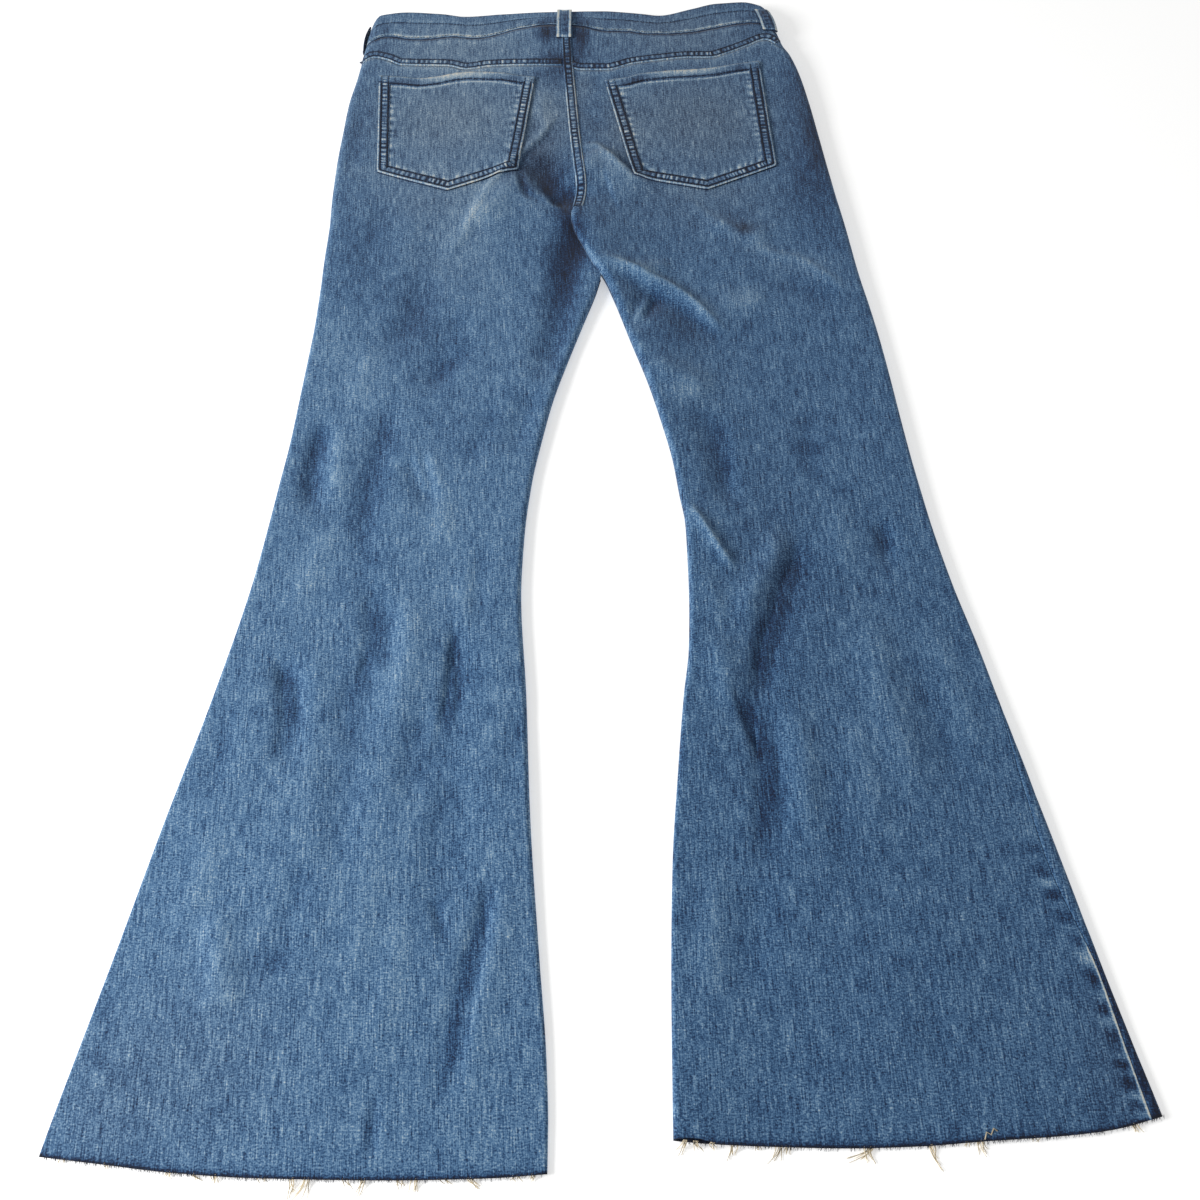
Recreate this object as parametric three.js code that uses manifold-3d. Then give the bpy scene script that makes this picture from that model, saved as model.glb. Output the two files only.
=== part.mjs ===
// A pair of flared jeans lying flat, back side up: millimetres, +X across, +Y from the hems to the waist,
// +Z up. The tables measure "up" from the hems' level and "x" from the line that the legs part on. A group
// shifts both so that the origin is under the middle of the garment's box.
import * as THREE from "three";
import { mergeVertices } from "three/addons/utils/BufferGeometryUtils.js";
import Module from "manifold-3d";

const wasm = await Module();
wasm.setup();

// Driving dimensions
const MIDDLE_X = 2.9; // from the parting line to the middle of the garment's box
const MIDDLE_UP = 514.65; // from the hems' level to the middle of the garment's box
const WALL = 1.2; // one thickness of denim with its turned edges
const BAND_WALL = 2.2; // the waistband is two cloths with a stiffener
const GAP = 0.3; // between pieces at a seam
const HALF_GAP = GAP / 2;
const INNER_GAP = HALF_GAP + 0.02; // a little more where two rolled edges can meet
const LEAST_STACK = 2 * WALL + 0.5; // the lowest that the upper cloth can lie over the lower one
const SEAM_WIDTH = 8.5; // a felled seam with its two rows of stitches
const SEAM_RISE = 0.9;
const SEAM_FLANK = 1.2; // half of the slope at each side of a seam's ridge
const SEAT_SEAM_FROM = 766; // where the seat seam comes out from under the thigh's fold
const FRONT_LIFT = 3.4; // how far the front waistband lies off the floor, over its button and loops
const LIFT_FROM = 62; // below the front's waist seam, where the front leaves the floor
const LIFT_LENGTH = 56;
const WAIST_SEAM_HEIGHT = 8.6; // the side seams' height over the floor at the waist
const NOMINAL_TOP = 980; // the height of the seam lines that the rows of a panel even out to

const DENIM = { color: 0x4f7196, roughness: 0.92, metalness: 0 };
const DENIM_SEAT = { color: 0x5a728c, roughness: 0.92, metalness: 0 };
const THREAD = { color: 0xcdbf9f, roughness: 0.95, metalness: 0 };
const METAL = { color: 0x8a8378, roughness: 0.35, metalness: 1 };

// The outline of each leg: the outer and the inner edge at each height
const LEFT_EDGES = [
  { up: -10, outer: -335.5, inner: -31.0 },
  { up: 20, outer: -330.3, inner: -31.0 },
  { up: 60, outer: -322.5, inner: -32.8 },
  { up: 120, outer: -310.5, inner: -38.6 },
  { up: 210, outer: -293.4, inner: -46.9 },
  { up: 300, outer: -274.9, inner: -52.3 },
  { up: 390, outer: -259.7, inner: -58.7 },
  { up: 430, outer: -255.3, inner: -57.7 },
  { up: 480, outer: -250.8, inner: -53.2 },
  { up: 520, outer: -247.2, inner: -46.2 },
  { up: 560, outer: -245.1, inner: -37.8 },
  { up: 600, outer: -243.0, inner: -26.2 },
  { up: 640, outer: -241.2, inner: -13.7 },
  { up: 680, outer: -240.9, inner: -1.4 },
  { up: 692, outer: -241.1, inner: 0.8 },
  { up: 704, outer: -241.2, inner: -2.6 },
  { up: 716, outer: -241.2, inner: -7.2 },
  { up: 727, outer: -241.0, inner: -10.6 },
  { up: 745, outer: -240.8, inner: -9.0 },
  { up: 767, outer: -241.6, inner: -1.5 },
  { up: 784, outer: -242.2, inner: -8.6 },
  { up: 822, outer: -242.4, inner: -16.0 },
  { up: 868, outer: -240.9, inner: -22.3 },
  { up: 900, outer: -239.4, inner: -24.6 },
  { up: 940, outer: -234.2, inner: -28.6 },
  { up: 980, outer: -230.6, inner: -32.0 },
  { up: 1000, outer: -229.0, inner: -33.4 },
  { up: 1020, outer: -225.8, inner: -34.6 },
  { up: 1050, outer: -219.0, inner: -36.0 },
];
const RIGHT_EDGES = [
  { up: -10, outer: 346.5, inner: 43.2 },
  { up: 40, outer: 336.0, inner: 43.9 },
  { up: 100, outer: 322.7, inner: 44.9 },
  { up: 180, outer: 306.6, inner: 48.0 },
  { up: 240, outer: 294.6, inner: 53.2 },
  { up: 300, outer: 282.3, inner: 59.4 },
  { up: 340, outer: 274.5, inner: 64.6 },
  { up: 390, outer: 263.3, inner: 66.2 },
  { up: 440, outer: 254.6, inner: 65.6 },
  { up: 470, outer: 250.6, inner: 61.5 },
  { up: 500, outer: 246.9, inner: 57.6 },
  { up: 540, outer: 242.9, inner: 48.9 },
  { up: 580, outer: 239.4, inner: 38.5 },
  { up: 620, outer: 235.4, inner: 25.7 },
  { up: 660, outer: 230.0, inner: 13.3 },
  { up: 685, outer: 226.0, inner: 4.6 },
  { up: 704, outer: 223.5, inner: -2.6 },
  { up: 716, outer: 222.2, inner: -7.2 },
  { up: 727, outer: 221.0, inner: -10.6 },
  { up: 745, outer: 219.0, inner: -9.0 },
  { up: 767, outer: 216.2, inner: -1.5 },
  { up: 784, outer: 213.8, inner: -8.6 },
  { up: 822, outer: 209.4, inner: -16.0 },
  { up: 868, outer: 204.3, inner: -22.3 },
  { up: 900, outer: 200.3, inner: -24.6 },
  { up: 940, outer: 194.2, inner: -28.6 },
  { up: 970, outer: 186.9, inner: -31.4 },
  { up: 984, outer: 180.6, inner: -32.4 },
  { up: 1000, outer: 176.6, inner: -33.4 },
  { up: 1020, outer: 172.4, inner: -34.6 },
  { up: 1050, outer: 167.0, inner: -36.0 },
];

// How high the upper cloth lies: at the rolled outer edge, over the middle, and at the rolled inner edges
const STACK = [
  { up: 0, outer: 3.6, middle: 3.3, innerLeft: 3.8, innerRight: 8.0 },
  { up: 45, outer: 4.0, middle: 3.6, innerLeft: 4.4, innerRight: 6.0 },
  { up: 110, outer: 5.0, middle: 4.4, innerLeft: 5.4, innerRight: 5.4 },
  { up: 300, outer: 6.4, middle: 5.4, innerLeft: 7.0, innerRight: 7.4 },
  { up: 450, outer: 7.4, middle: 5.8, innerLeft: 8.0, innerRight: 9.0 },
  { up: 600, outer: 9.0, middle: 6.2, innerLeft: 9.6, innerRight: 11.0 },
  { up: 690, outer: 10.6, middle: 7.4, innerLeft: 8.4, innerRight: 14.0 },
  { up: 745, outer: 11.6, middle: 8.8, innerLeft: 7.2, innerRight: 15.4 },
  { up: 790, outer: 12.4, middle: 9.8, innerLeft: 9.6, innerRight: 10.6 },
  { up: 850, outer: 13.2, middle: 10.8, innerLeft: 10.8, innerRight: 10.8 },
  { up: 930, outer: 14.8, middle: 12.4, innerLeft: 12.6, innerRight: 12.6 },
  { up: 980, outer: 15.8, middle: 13.8, innerLeft: 14.6, innerRight: 14.6 },
  { up: 1008, outer: 16.2, middle: 14.6, innerLeft: 16.0, innerRight: 16.0 },
  { up: 1050, outer: 15.4, middle: 14.2, innerLeft: 12.8, innerRight: 12.8 },
];
const EDGE_REACH = 42; // how far in from an edge its own height is felt

// Where the inseam rolls are free: 1 on the legs, 0 where the cloth runs on across the seat
const LEFT_FREE = [
  { up: 684, free: 1 },
  { up: 706, free: 0 },
];
const RIGHT_FREE = [
  { up: 756, free: 1 },
  { up: 786, free: 0 },
];
const THIGH_LANDING = 7.6; // where the right thigh's roll meets the left panel

// How far the side seam lies round on the upper side
const SIDE_SEAM = {
  left: [
    { up: 0, inset: 0.9 },
    { up: 1050, inset: 0.9 },
  ],
  right: [
    { up: 0, inset: 9.5 },
    { up: 60, inset: 7.5 },
    { up: 110, inset: 5.5 },
    { up: 180, inset: 12.0 },
    { up: 240, inset: 9.0 },
    { up: 330, inset: 0.9 },
    { up: 1050, inset: 0.9 },
  ],
};

// Lines across the garment, each a height for some places along x
const HEM_LINE = {
  left: [
    { x: -334, up: 7.4 },
    { x: -294, up: 3.2 },
    { x: -255, up: -1.0 },
    { x: -201, up: -4.1 },
    { x: -123, up: -5.2 },
    { x: -65, up: -4.1 },
    { x: -32, up: -2.0 },
  ],
  right: [
    { x: 42, up: 16.0 },
    { x: 60, up: 14.4 },
    { x: 95, up: 12.8 },
    { x: 149, up: 11.7 },
    { x: 191, up: 12.8 },
    { x: 230, up: 15.5 },
    { x: 275, up: 18.2 },
    { x: 305, up: 21.4 },
    { x: 340, up: 29.4 },
  ],
};
const YOKE_LINE = [
  { x: -232, up: 955 },
  { x: -218, up: 963 },
  { x: -206, up: 960 },
  { x: -192, up: 954 },
  { x: -165, up: 954 },
  { x: -147, up: 953.5 },
  { x: -130, up: 949 },
  { x: -107, up: 953 },
  { x: -78, up: 954.5 },
  { x: -37, up: 954 },
  { x: -18, up: 948 },
  { x: 6, up: 948 },
  { x: 32, up: 956.5 },
  { x: 60, up: 961.5 },
  { x: 90, up: 965 },
  { x: 107, up: 965 },
  { x: 124, up: 971 },
  { x: 145, up: 981 },
  { x: 162, up: 988.5 },
  { x: 178, up: 976 },
];
const BAND_LINE = [
  { x: -230, up: 982 },
  { x: -208, up: 993 },
  { x: -185, up: 990 },
  { x: -167, up: 991 },
  { x: -145, up: 994.5 },
  { x: -123, up: 992 },
  { x: -108, up: 995 },
  { x: -80, up: 1006 },
  { x: -52, up: 1011 },
  { x: -18, up: 1008.5 },
  { x: 4, up: 1002.5 },
  { x: 28, up: 1002 },
  { x: 44, up: 999 },
  { x: 67, up: 998.5 },
  { x: 89, up: 1000.5 },
  { x: 110, up: 1005.5 },
  { x: 134, up: 1012 },
  { x: 152, up: 1014 },
  { x: 164, up: 1010 },
  { x: 178, up: 993 },
];
const BACK_TOP = [
  { x: -228, up: 1012 },
  { x: -219, up: 1025 },
  { x: -188, up: 1031 },
  { x: -157, up: 1029 },
  { x: -135, up: 1025 },
  { x: -97, up: 1029 },
  { x: -50, up: 1033 },
  { x: 0, up: 1034 },
  { x: 40, up: 1030 },
  { x: 58, up: 1027 },
  { x: 94, up: 1038 },
  { x: 115, up: 1045 },
  { x: 143, up: 1047 },
  { x: 160, up: 1041 },
  { x: 174, up: 1024 },
];
const FRONT_SEAM_LINE = [
  { x: -230, up: 982 },
  { x: -180, up: 972 },
  { x: -100, up: 962 },
  { x: -34, up: 956 },
  { x: 40, up: 964 },
  { x: 110, up: 980 },
  { x: 178, up: 993 },
];
const FRONT_TOP = [
  { x: -228, up: 1012 },
  { x: -180, up: 1006 },
  { x: -100, up: 998 },
  { x: -34, up: 993 },
  { x: 40, up: 1000 },
  { x: 110, up: 1014 },
  { x: 174, up: 1024 },
];

// The largest folds. Each runs along its path, rises (or sinks, where it is less than 0) by so many
// millimetres, and reaches that far out on the left and on the right of its path.
const FOLDS = [
  { name: "seat hollow", rise: -4.6, left: 20, right: 12, path: [[-66, 836], [-47, 802], [-22, 762]] },
  { name: "seat drag ridge", rise: 2.2, left: 14, right: 9, path: [[-74, 828], [-91, 789], [-112, 744]] },
  { name: "inner thigh hollow", rise: -3.4, left: 12, right: 16,
    path: [[-18, 770], [-26, 709], [-37, 625], [-54, 560]] },
  { name: "left thigh trough 1", rise: -1.6, left: 14, right: 12,
    path: [[-158, 676], [-168, 642], [-176, 596]] },
  { name: "left thigh trough 2", rise: -1.7, left: 12, right: 16,
    path: [[-118, 645], [-131, 613], [-148, 552]] },
  { name: "left knee crease", rise: -1.7, left: 9, right: 12,
    path: [[-147, 508], [-139, 484], [-126, 448]] },
  { name: "left outer knee trough", rise: -1.5, left: 11, right: 11,
    path: [[-222, 540], [-225, 493], [-221, 440]] },
  { name: "left inner knee trough", rise: -1.4, left: 9, right: 12,
    path: [[-50, 578], [-60, 545], [-72, 498]] },
  { name: "left calf trough 1", rise: -2.1, left: 14, right: 12,
    path: [[-164, 400], [-171, 353], [-174, 316]] },
  { name: "left calf trough 2", rise: -2.2, left: 10, right: 18,
    path: [[-181, 345], [-176, 295], [-169, 240]] },
  { name: "left calf outer trough", rise: -2.4, left: 22, right: 18,
    path: [[-244, 340], [-231, 295], [-230, 230]] },
  { name: "left calf inner trough", rise: -2.3, left: 14, right: 12,
    path: [[-112, 375], [-105, 310], [-106, 246]] },
  { name: "left shin trough 1", rise: -1.6, left: 11, right: 11,
    path: [[-122, 300], [-127, 258], [-129, 214]] },
  { name: "left shin trough 2", rise: -1.5, left: 12, right: 14,
    path: [[-170, 262], [-173, 222], [-174, 164]] },
  { name: "left shin trough 3", rise: -1.7, left: 20, right: 12,
    path: [[-100, 250], [-103, 208], [-109, 128]] },
  { name: "left calf ridge 1", rise: 1.5, left: 12, right: 12,
    path: [[-208, 345], [-204, 290], [-199, 220]] },
  { name: "left calf ridge 2", rise: 1.5, left: 14, right: 10,
    path: [[-143, 388], [-139, 330], [-148, 262]] },
  { name: "left long fold", rise: -1.4, left: 6, right: 12, path: [[-68, 184], [-82, 112], [-99, 22]] },
  { name: "left long fold's ridge", rise: 1.4, left: 12, right: 8,
    path: [[-54, 180], [-66, 112], [-82, 26]] },
  { name: "left low ridge", rise: 1.5, left: 12, right: 10, path: [[-252, 156], [-245, 130], [-235, 84]] },
  { name: "thigh fold", rise: 5.6, left: 9, right: 46,
    path: [[-12, 762], [0, 790], [18, 803], [42, 798], [66, 778]] },
  { name: "thigh drag ridge", rise: 3.0, left: 7, right: 10,
    path: [[-4, 716], [35, 689], [77, 659], [128, 618]] },
  { name: "thigh drag hollow", rise: -2.4, left: 8, right: 18,
    path: [[2, 694], [38, 670], [76, 642], [118, 604]] },
  { name: "thigh branch", rise: 1.6, left: 8, right: 8, path: [[28, 690], [46, 698], [70, 708]] },
  { name: "inner crease", rise: -2.2, left: 9, right: 9, path: [[48, 678], [34, 653], [22, 622]] },
  { name: "right thigh ridge", rise: 1.4, left: 14, right: 9, path: [[86, 752], [123, 744], [150, 726]] },
  { name: "right thigh low ridge", rise: 1.7, left: 12, right: 10,
    path: [[36, 594], [66, 582], [98, 568]] },
  { name: "right knee trough", rise: -2.0, left: 12, right: 14, path: [[90, 564], [94, 508], [98, 452]] },
  { name: "inner knee ridge", rise: 2.2, left: 7, right: 12, path: [[60, 460], [87, 423], [114, 398]] },
  { name: "main trough", rise: -2.8, left: 9, right: 16,
    path: [[156, 452], [150, 415], [131, 381], [122, 341], [118, 292]] },
  { name: "main trough's ridge", rise: 2.2, left: 9, right: 9,
    path: [[136, 446], [130, 412], [112, 380], [104, 346]] },
  { name: "right calf trough", rise: -2.2, left: 10, right: 15,
    path: [[92, 340], [107, 291], [114, 250], [112, 208], [103, 156]] },
  { name: "right calf ridge", rise: 1.5, left: 10, right: 14, path: [[136, 300], [140, 250], [136, 190]] },
  { name: "right outer trough", rise: -1.7, left: 9, right: 11,
    path: [[219, 446], [217, 421], [216, 390]] },
  { name: "right inner bump", rise: 1.6, left: 12, right: 10, path: [[84, 352], [89, 318], [96, 284]] },
  { name: "right shin trough", rise: -1.1, left: 12, right: 14, path: [[106, 178], [100, 136], [90, 84]] },
  { name: "right outer ridge", rise: 1.5, left: 13, right: 16, path: [[196, 380], [204, 300], [222, 210]] },
];
const PATH_STEPS = 6; // lengths that each stretch of a fold's path is smoothed into
const FOLD_TAPER = 0.3; // the share of a fold's length over which each end dies out
const FOLD_REACH = 2.4; // how many times its stated reach a fold is felt

// A slow unevenness that no laid cloth is without, from a few waves
const WAVES = [
  { rise: 0.35, across: 31, along: 83, start: 0 },
  { rise: 0.3, across: -59, along: 47, start: 1.3 },
  { rise: 0.2, across: 17, along: -29, start: 0 },
];
const TAUT_FROM = 860; // the waist is taut, so the unevenness dies out towards it
const TAUT_LENGTH = 90;
const WAIST_SLACK = 0.3;
const SOFT_STOP = 0.5; // how softly the upper cloth comes to lie on the lower one

// How thickly the surfaces are sampled
const BACK_ROWS = [
  { from: 0, to: 40, step: 20 },
  { from: 40, to: 680, step: 40 },
  { from: 680, to: 830, step: 15 },
  { from: 830, to: 980, step: 30 },
];
const FRONT_ROWS = [
  { from: 0, to: 40, step: 20 },
  { from: 40, to: 680, step: 40 },
  { from: 680, to: 830, step: 30 },
  { from: 830, to: 920, step: 30 },
  { from: 920, to: 980, step: 15 },
];
const EDGE_COLUMNS = 3; // round each rolled edge
const BACK_COLUMNS = 14; // across the flat of a back panel
const FRONT_COLUMNS = 4;
const YOKE_ROWS = [0, 0.3, 0.65, 1];
const BACK_BAND_ROWS = [0, 0.35, 0.7, 1];
const FRONT_BAND_ROWS = [0, 0.5, 1];

// Pockets: corners of each patch, in order from its lower outer corner round to its upper outer one
const POCKETS = {
  left: {
    topLeft: [-212, 936],
    topRight: [-62.5, 936],
    bottomLeft: [-203.5, 811.5],
    bottomRight: [-75, 816],
    tip: [-137.5, 789.5],
  },
  right: {
    topLeft: [4.5, 931.5],
    topRight: [154, 957],
    bottomLeft: [31, 806],
    bottomRight: [161.5, 819.5],
    tip: [98, 791],
  },
};
const POCKET_LIFT = 0.45;
const POCKET_WALL = 1.2;
const POCKET_HEM = 9;
const POCKET_TALL = 140; // about, from the hem to the lower edge
const POCKET_ARCH = 3; // how far the top edge rises at its middle
const POCKET_HEM_RISE = 0.8;
const POCKET_ACROSS = 12;
const POCKET_ALONG = 9;
const POCKET_STEP = 1.6; // from the pocket's own height to its hem's
const NEIGHBOURS = [[0, 0], [4, 0], [-4, 0], [0, 4], [0, -4]]; // a pocket bridges dips between these

const LOOP_WIDTH = 12.5;
const LOOP_WALL = 1.5;
const LOOP_OFF = 0.7; // off the band at its two ends
const LOOP_BOW = 1.3; // a loop's middle stands off the band
const LOOP_TAIL = 2.5; // below the band's seam
const LONG_TAIL = 17; // and how much longer the centre loop is, down over the yoke
const LOOP_TOP = 0.6; // below the band's upper edge
const LOOP_STEPS = 6;
const LOOP_ACROSS = 3;
const LOOPS = [
  { name: "belt_loop_centre_back", layer: "top", x: -35.5 },
  { name: "belt_loop_right_side", side: "right", around: 13 },
  { name: "belt_loop_left_side", side: "left", around: -3.2 },
  { name: "belt_loop_front_left", layer: "bottom", x: -128 },
  { name: "belt_loop_front_right", layer: "bottom", x: 62 },
];

const BUTTON = { x: -34, below: 16, radius: 8.5, thick: 1.7, rim: 0.7, dish: 2.4, lip: 0.5 };
const BUTTON_OFF_FLOOR = 0.3;
const SHANK_RADIUS = 3.2;
const BUTTON_SIDES = 20;

// The fringe: a strip of loosened edge along each hem, and the tufts of thread that hang from it
const TUFT_STRIP = 1.3; // how deep the strip is
const STRIP_STEPS = 22;
const STRIP_THICK = 0.9;
const STRIP_SINK = 0.15; // the strip's face lies this much lower than the cloth's
const HEM_MARGIN = 1.2; // the cloth's height is taken this far inside its edge
const STRIP_MARGIN = 5; // from the strip's ends to the rolled edges
const THREAD_WIDE = 0.9;
const THREAD_SPREAD = 1.7; // between the threads of one tuft
const ROOT_DEPTH = 0.7; // how far a thread's root runs into the strip
const ROOT_SINK = 0.6; // how far a root's middle lies below the cloth's face
const ROOT_FLOOR = 0.9; // the least height of a root's middle over the floor
const TIP_FLOOR = 0.55; // and of a tip's
const THREAD_POINTS = [0, 0.45, 1];

// Where each tuft stands, how far it reaches down, how far it leans to the right and its number of threads
const TUFTS = {
  left: [
    { x: -318, reach: 2.5, lean: -1, threads: 2 },
    { x: -291, reach: 2.5, lean: 1, threads: 1 },
    { x: -254, reach: 4.2, lean: -2.4, threads: 2 },
    { x: -240, reach: 3.6, lean: 4.0, threads: 2 },
    { x: -227, reach: 4.0, lean: 0, threads: 2 },
    { x: -200, reach: 2.4, lean: 1.6, threads: 1 },
    { x: -180, reach: 11.0, lean: 0.6, threads: 2 },
    { x: -172, reach: 11.4, lean: -7.6, threads: 2 },
    { x: -148, reach: 4.6, lean: 2.0, threads: 1 },
    { x: -140, reach: 8.2, lean: -3.2, threads: 2 },
    { x: -118, reach: 4.8, lean: 0.8, threads: 3 },
    { x: -107, reach: 6.8, lean: -1.6, threads: 2 },
    { x: -92, reach: 2.4, lean: 4.0, threads: 2 },
    { x: -76, reach: 5.4, lean: 5.6, threads: 3 },
    { x: -48, reach: 2.6, lean: 1.8, threads: 2 },
    { x: -40, reach: 3.4, lean: -1.0, threads: 2 },
  ],
  right: [
    { x: 50.5, reach: 7.4, lean: -4.8, threads: 2 },
    { x: 56, reach: 4.4, lean: 2.4, threads: 2 },
    { x: 66, reach: 3.6, lean: 1.2, threads: 2 },
    { x: 79, reach: 8.4, lean: -1.4, threads: 2 },
    { x: 94, reach: 2.4, lean: 0.6, threads: 2 },
    { x: 107, reach: 9.0, lean: -6.6, threads: 2 },
    { x: 111, reach: 4.2, lean: 0.8, threads: 1 },
    { x: 158, reach: 8.6, lean: 2.6, threads: 2 },
    { x: 162, reach: 7.8, lean: -15.0, threads: 2 },
    { x: 197, reach: 13.6, lean: 7.4, threads: 3 },
    { x: 219, reach: 2.4, lean: 1.0, threads: 1 },
    { x: 227, reach: 8.0, lean: 3.6, threads: 3 },
    { x: 262, reach: 2.2, lean: -1.6, threads: 1 },
    { x: 320, reach: 4.4, lean: 4.6, threads: 3 },
  ],
};

// The value in a table at a place, on a smooth curve through its rows that never overshoots them
function along(table, place, key, value) {
  const last = table.length - 1;
  if (place <= table[0][key]) return table[0][value];
  if (place >= table[last][key]) return table[last][value];
  let i = 0;
  while (place > table[i + 1][key]) i++;
  const slope = (k) => {
    if (k <= 0 || k >= last) return 0;
    const before = (table[k][value] - table[k - 1][value]) / (table[k][key] - table[k - 1][key]);
    const after = (table[k + 1][value] - table[k][value]) / (table[k + 1][key] - table[k][key]);
    return before * after <= 0 ? 0 : (2 * before * after) / (before + after);
  };
  const step = table[i + 1][key] - table[i][key];
  const t = (place - table[i][key]) / step;
  const rise = table[i + 1][value] - table[i][value];
  const first = i === 0 ? rise / step : slope(i);
  const second = i + 1 === last ? rise / step : slope(i + 1);
  const start = t * (1 - t) * (1 - t) * step * first;
  const end = t * t * (t - 1) * step * second;
  return table[i][value] + t * t * (3 - 2 * t) * rise + start + end;
}

const mix = (a, b, t) => a + (b - a) * t;
const ease = (t) => {
  const s = Math.min(1, Math.max(0, t));
  return s * s * (3 - 2 * s);
};
const HALVES = {
  left: { edges: LEFT_EDGES, free: LEFT_FREE, toInner: 1, inner: "innerLeft" },
  right: { edges: RIGHT_EDGES, free: RIGHT_FREE, toInner: -1, inner: "innerRight" },
};
const outerX = (side, up) => along(HALVES[side].edges, up, "up", "outer");
const innerX = (side, up) => along(HALVES[side].edges, up, "up", "inner");

// A fold's path as short straight lengths, on a smooth curve through its points
const foldLines = FOLDS.map((fold) => {
  const curve = new THREE.CatmullRomCurve3(fold.path.map(([x, up]) => new THREE.Vector3(x, up, 0)));
  return { ...fold, line: curve.getPoints((fold.path.length - 1) * PATH_STEPS) };
});

// How much the folds lift the upper cloth at a place
function folded(x, up) {
  let sum = 0;
  for (const fold of foldLines) {
    const reach = FOLD_REACH * Math.max(fold.left, fold.right);
    let best = { away: Infinity, side: 1, share: 0 };
    for (let i = 0; i + 1 < fold.line.length; i++) {
      const a = fold.line[i];
      const b = fold.line[i + 1];
      const dx = b.x - a.x;
      const dy = b.y - a.y;
      const length = dx * dx + dy * dy;
      const t = Math.min(1, Math.max(0, ((x - a.x) * dx + (up - a.y) * dy) / length));
      const away = Math.hypot(x - a.x - t * dx, up - a.y - t * dy);
      if (away < best.away) {
        const cross = dx * (up - a.y) - dy * (x - a.x);
        best = { away, side: cross > 0 ? "left" : "right", share: (i + t) / (fold.line.length - 1) };
      }
    }
    if (best.away > reach) continue;
    const taper = ease(best.share / FOLD_TAPER) * ease((1 - best.share) / FOLD_TAPER);
    const across = best.away / fold[best.side];
    sum += fold.rise * taper * Math.exp(-across * across);
  }
  return sum;
}

const uneven = (x, up) =>
  WAVES.reduce((sum, w) => sum + w.rise * Math.sin(x / w.across + up / w.along + w.start), 0);

// The raised ridges of the felled seams, on the outside only
function seamRise(x, up) {
  const fromYoke = up - along(YOKE_LINE, x, "x", "up");
  const fromCentre = x - along(LEFT_EDGES, up, "up", "inner");
  const slope = 2 * SEAM_FLANK;
  const across = (d) => ease((d + SEAM_FLANK) / slope) * ease((SEAM_WIDTH + SEAM_FLANK - d) / slope);
  const belowBand = up < along(BAND_LINE, x, "x", "up") ? 1 : 0;
  const seat = ease((up - SEAT_SEAM_FROM) / (2 * SEAM_WIDTH)) * belowBand;
  return SEAM_RISE * Math.max(across(fromYoke), across(fromCentre) * seat);
}

// The upper cloth's height at a place on one half, before any rolled edge
function upperHeight(side, x, up) {
  const half = HALVES[side];
  const middle = along(STACK, up, "up", "middle");
  const fromOuter = Math.abs(x - outerX(side, up)) / EDGE_REACH;
  const fromInner = Math.abs(x - innerX(side, up)) / EDGE_REACH;
  const outer = (along(STACK, up, "up", "outer") - middle) * Math.exp(-fromOuter * fromOuter);
  const inner = (along(STACK, up, "up", half.inner) - middle) * Math.exp(-fromInner * fromInner);
  const slack = mix(1, WAIST_SLACK, ease((up - TAUT_FROM) / TAUT_LENGTH));
  const wanted = middle + outer + inner + folded(x, up) + uneven(x, up) * slack;
  const least = LEAST_STACK + frontLift(x, up);
  const over = (wanted - least) / SOFT_STOP;
  return least + SOFT_STOP * (over > 20 ? over : Math.log1p(Math.exp(over)));
}

// The lower cloth lies on the floor but for its top, which the waistband's button and loops lift
function frontLift(x, up) {
  return FRONT_LIFT * ease((up - along(FRONT_SEAM_LINE, x, "x", "up") + LIFT_FROM) / LIFT_LENGTH);
}

const ROLL_RUN = 0.5; // a rolled edge's reach inwards, as a share of its height
const seamHeight = (up) =>
  mix(along(STACK, up, "up", "outer") * 0.5, WAIST_SEAM_HEIGHT, ease((up - TAUT_FROM) / TAUT_LENGTH));

// A point on one half, s millimetres round from the middle height of its outer edge: over the top where s is
// more than 0, and under it where s is less. fromInner counts s from the inner edge instead.
function around(side, up, s, fromInner = false, layer = s >= 0 ? "top" : "bottom") {
  const half = HALVES[side];
  const top = layer === "top";
  const d = Math.abs(s);
  const edge = fromInner ? innerX(side, up) : outerX(side, up);
  const inwards = fromInner ? -half.toInner : half.toInner;
  const crest = fromInner ? along(STACK, up, "up", half.inner) : along(STACK, up, "up", "outer");
  const height = (x) => (top ? upperHeight(side, x, up) : frontLift(x, up));
  const run = Math.max(2, ROLL_RUN * crest);
  const crestZ = height(edge + inwards * run);
  let rolled = 1;
  let endZ = seamHeight(up);
  if (fromInner) {
    rolled = along(top ? half.free : LEFT_FREE, up, "up", "free");
    endZ = top ? mix(crest * 0.5, THIGH_LANDING, ease((up - 640) / 60)) : crest * 0.5;
  }
  const arc = mix(run, (Math.PI / 2) * Math.sqrt((run * run + (crestZ - endZ) ** 2) / 2), rolled);
  const turn = Math.min(1, d / arc);
  const angle = (turn * Math.PI) / 2;
  const inset = run * mix(turn, 1 - Math.cos(angle), rolled) + Math.max(0, d - arc);
  const x = edge + inwards * inset;
  const flat = height(x);
  return new THREE.Vector3(x, up, d < arc ? mix(flat, mix(endZ, crestZ, Math.sin(angle)), rolled) : flat);
}

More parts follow.
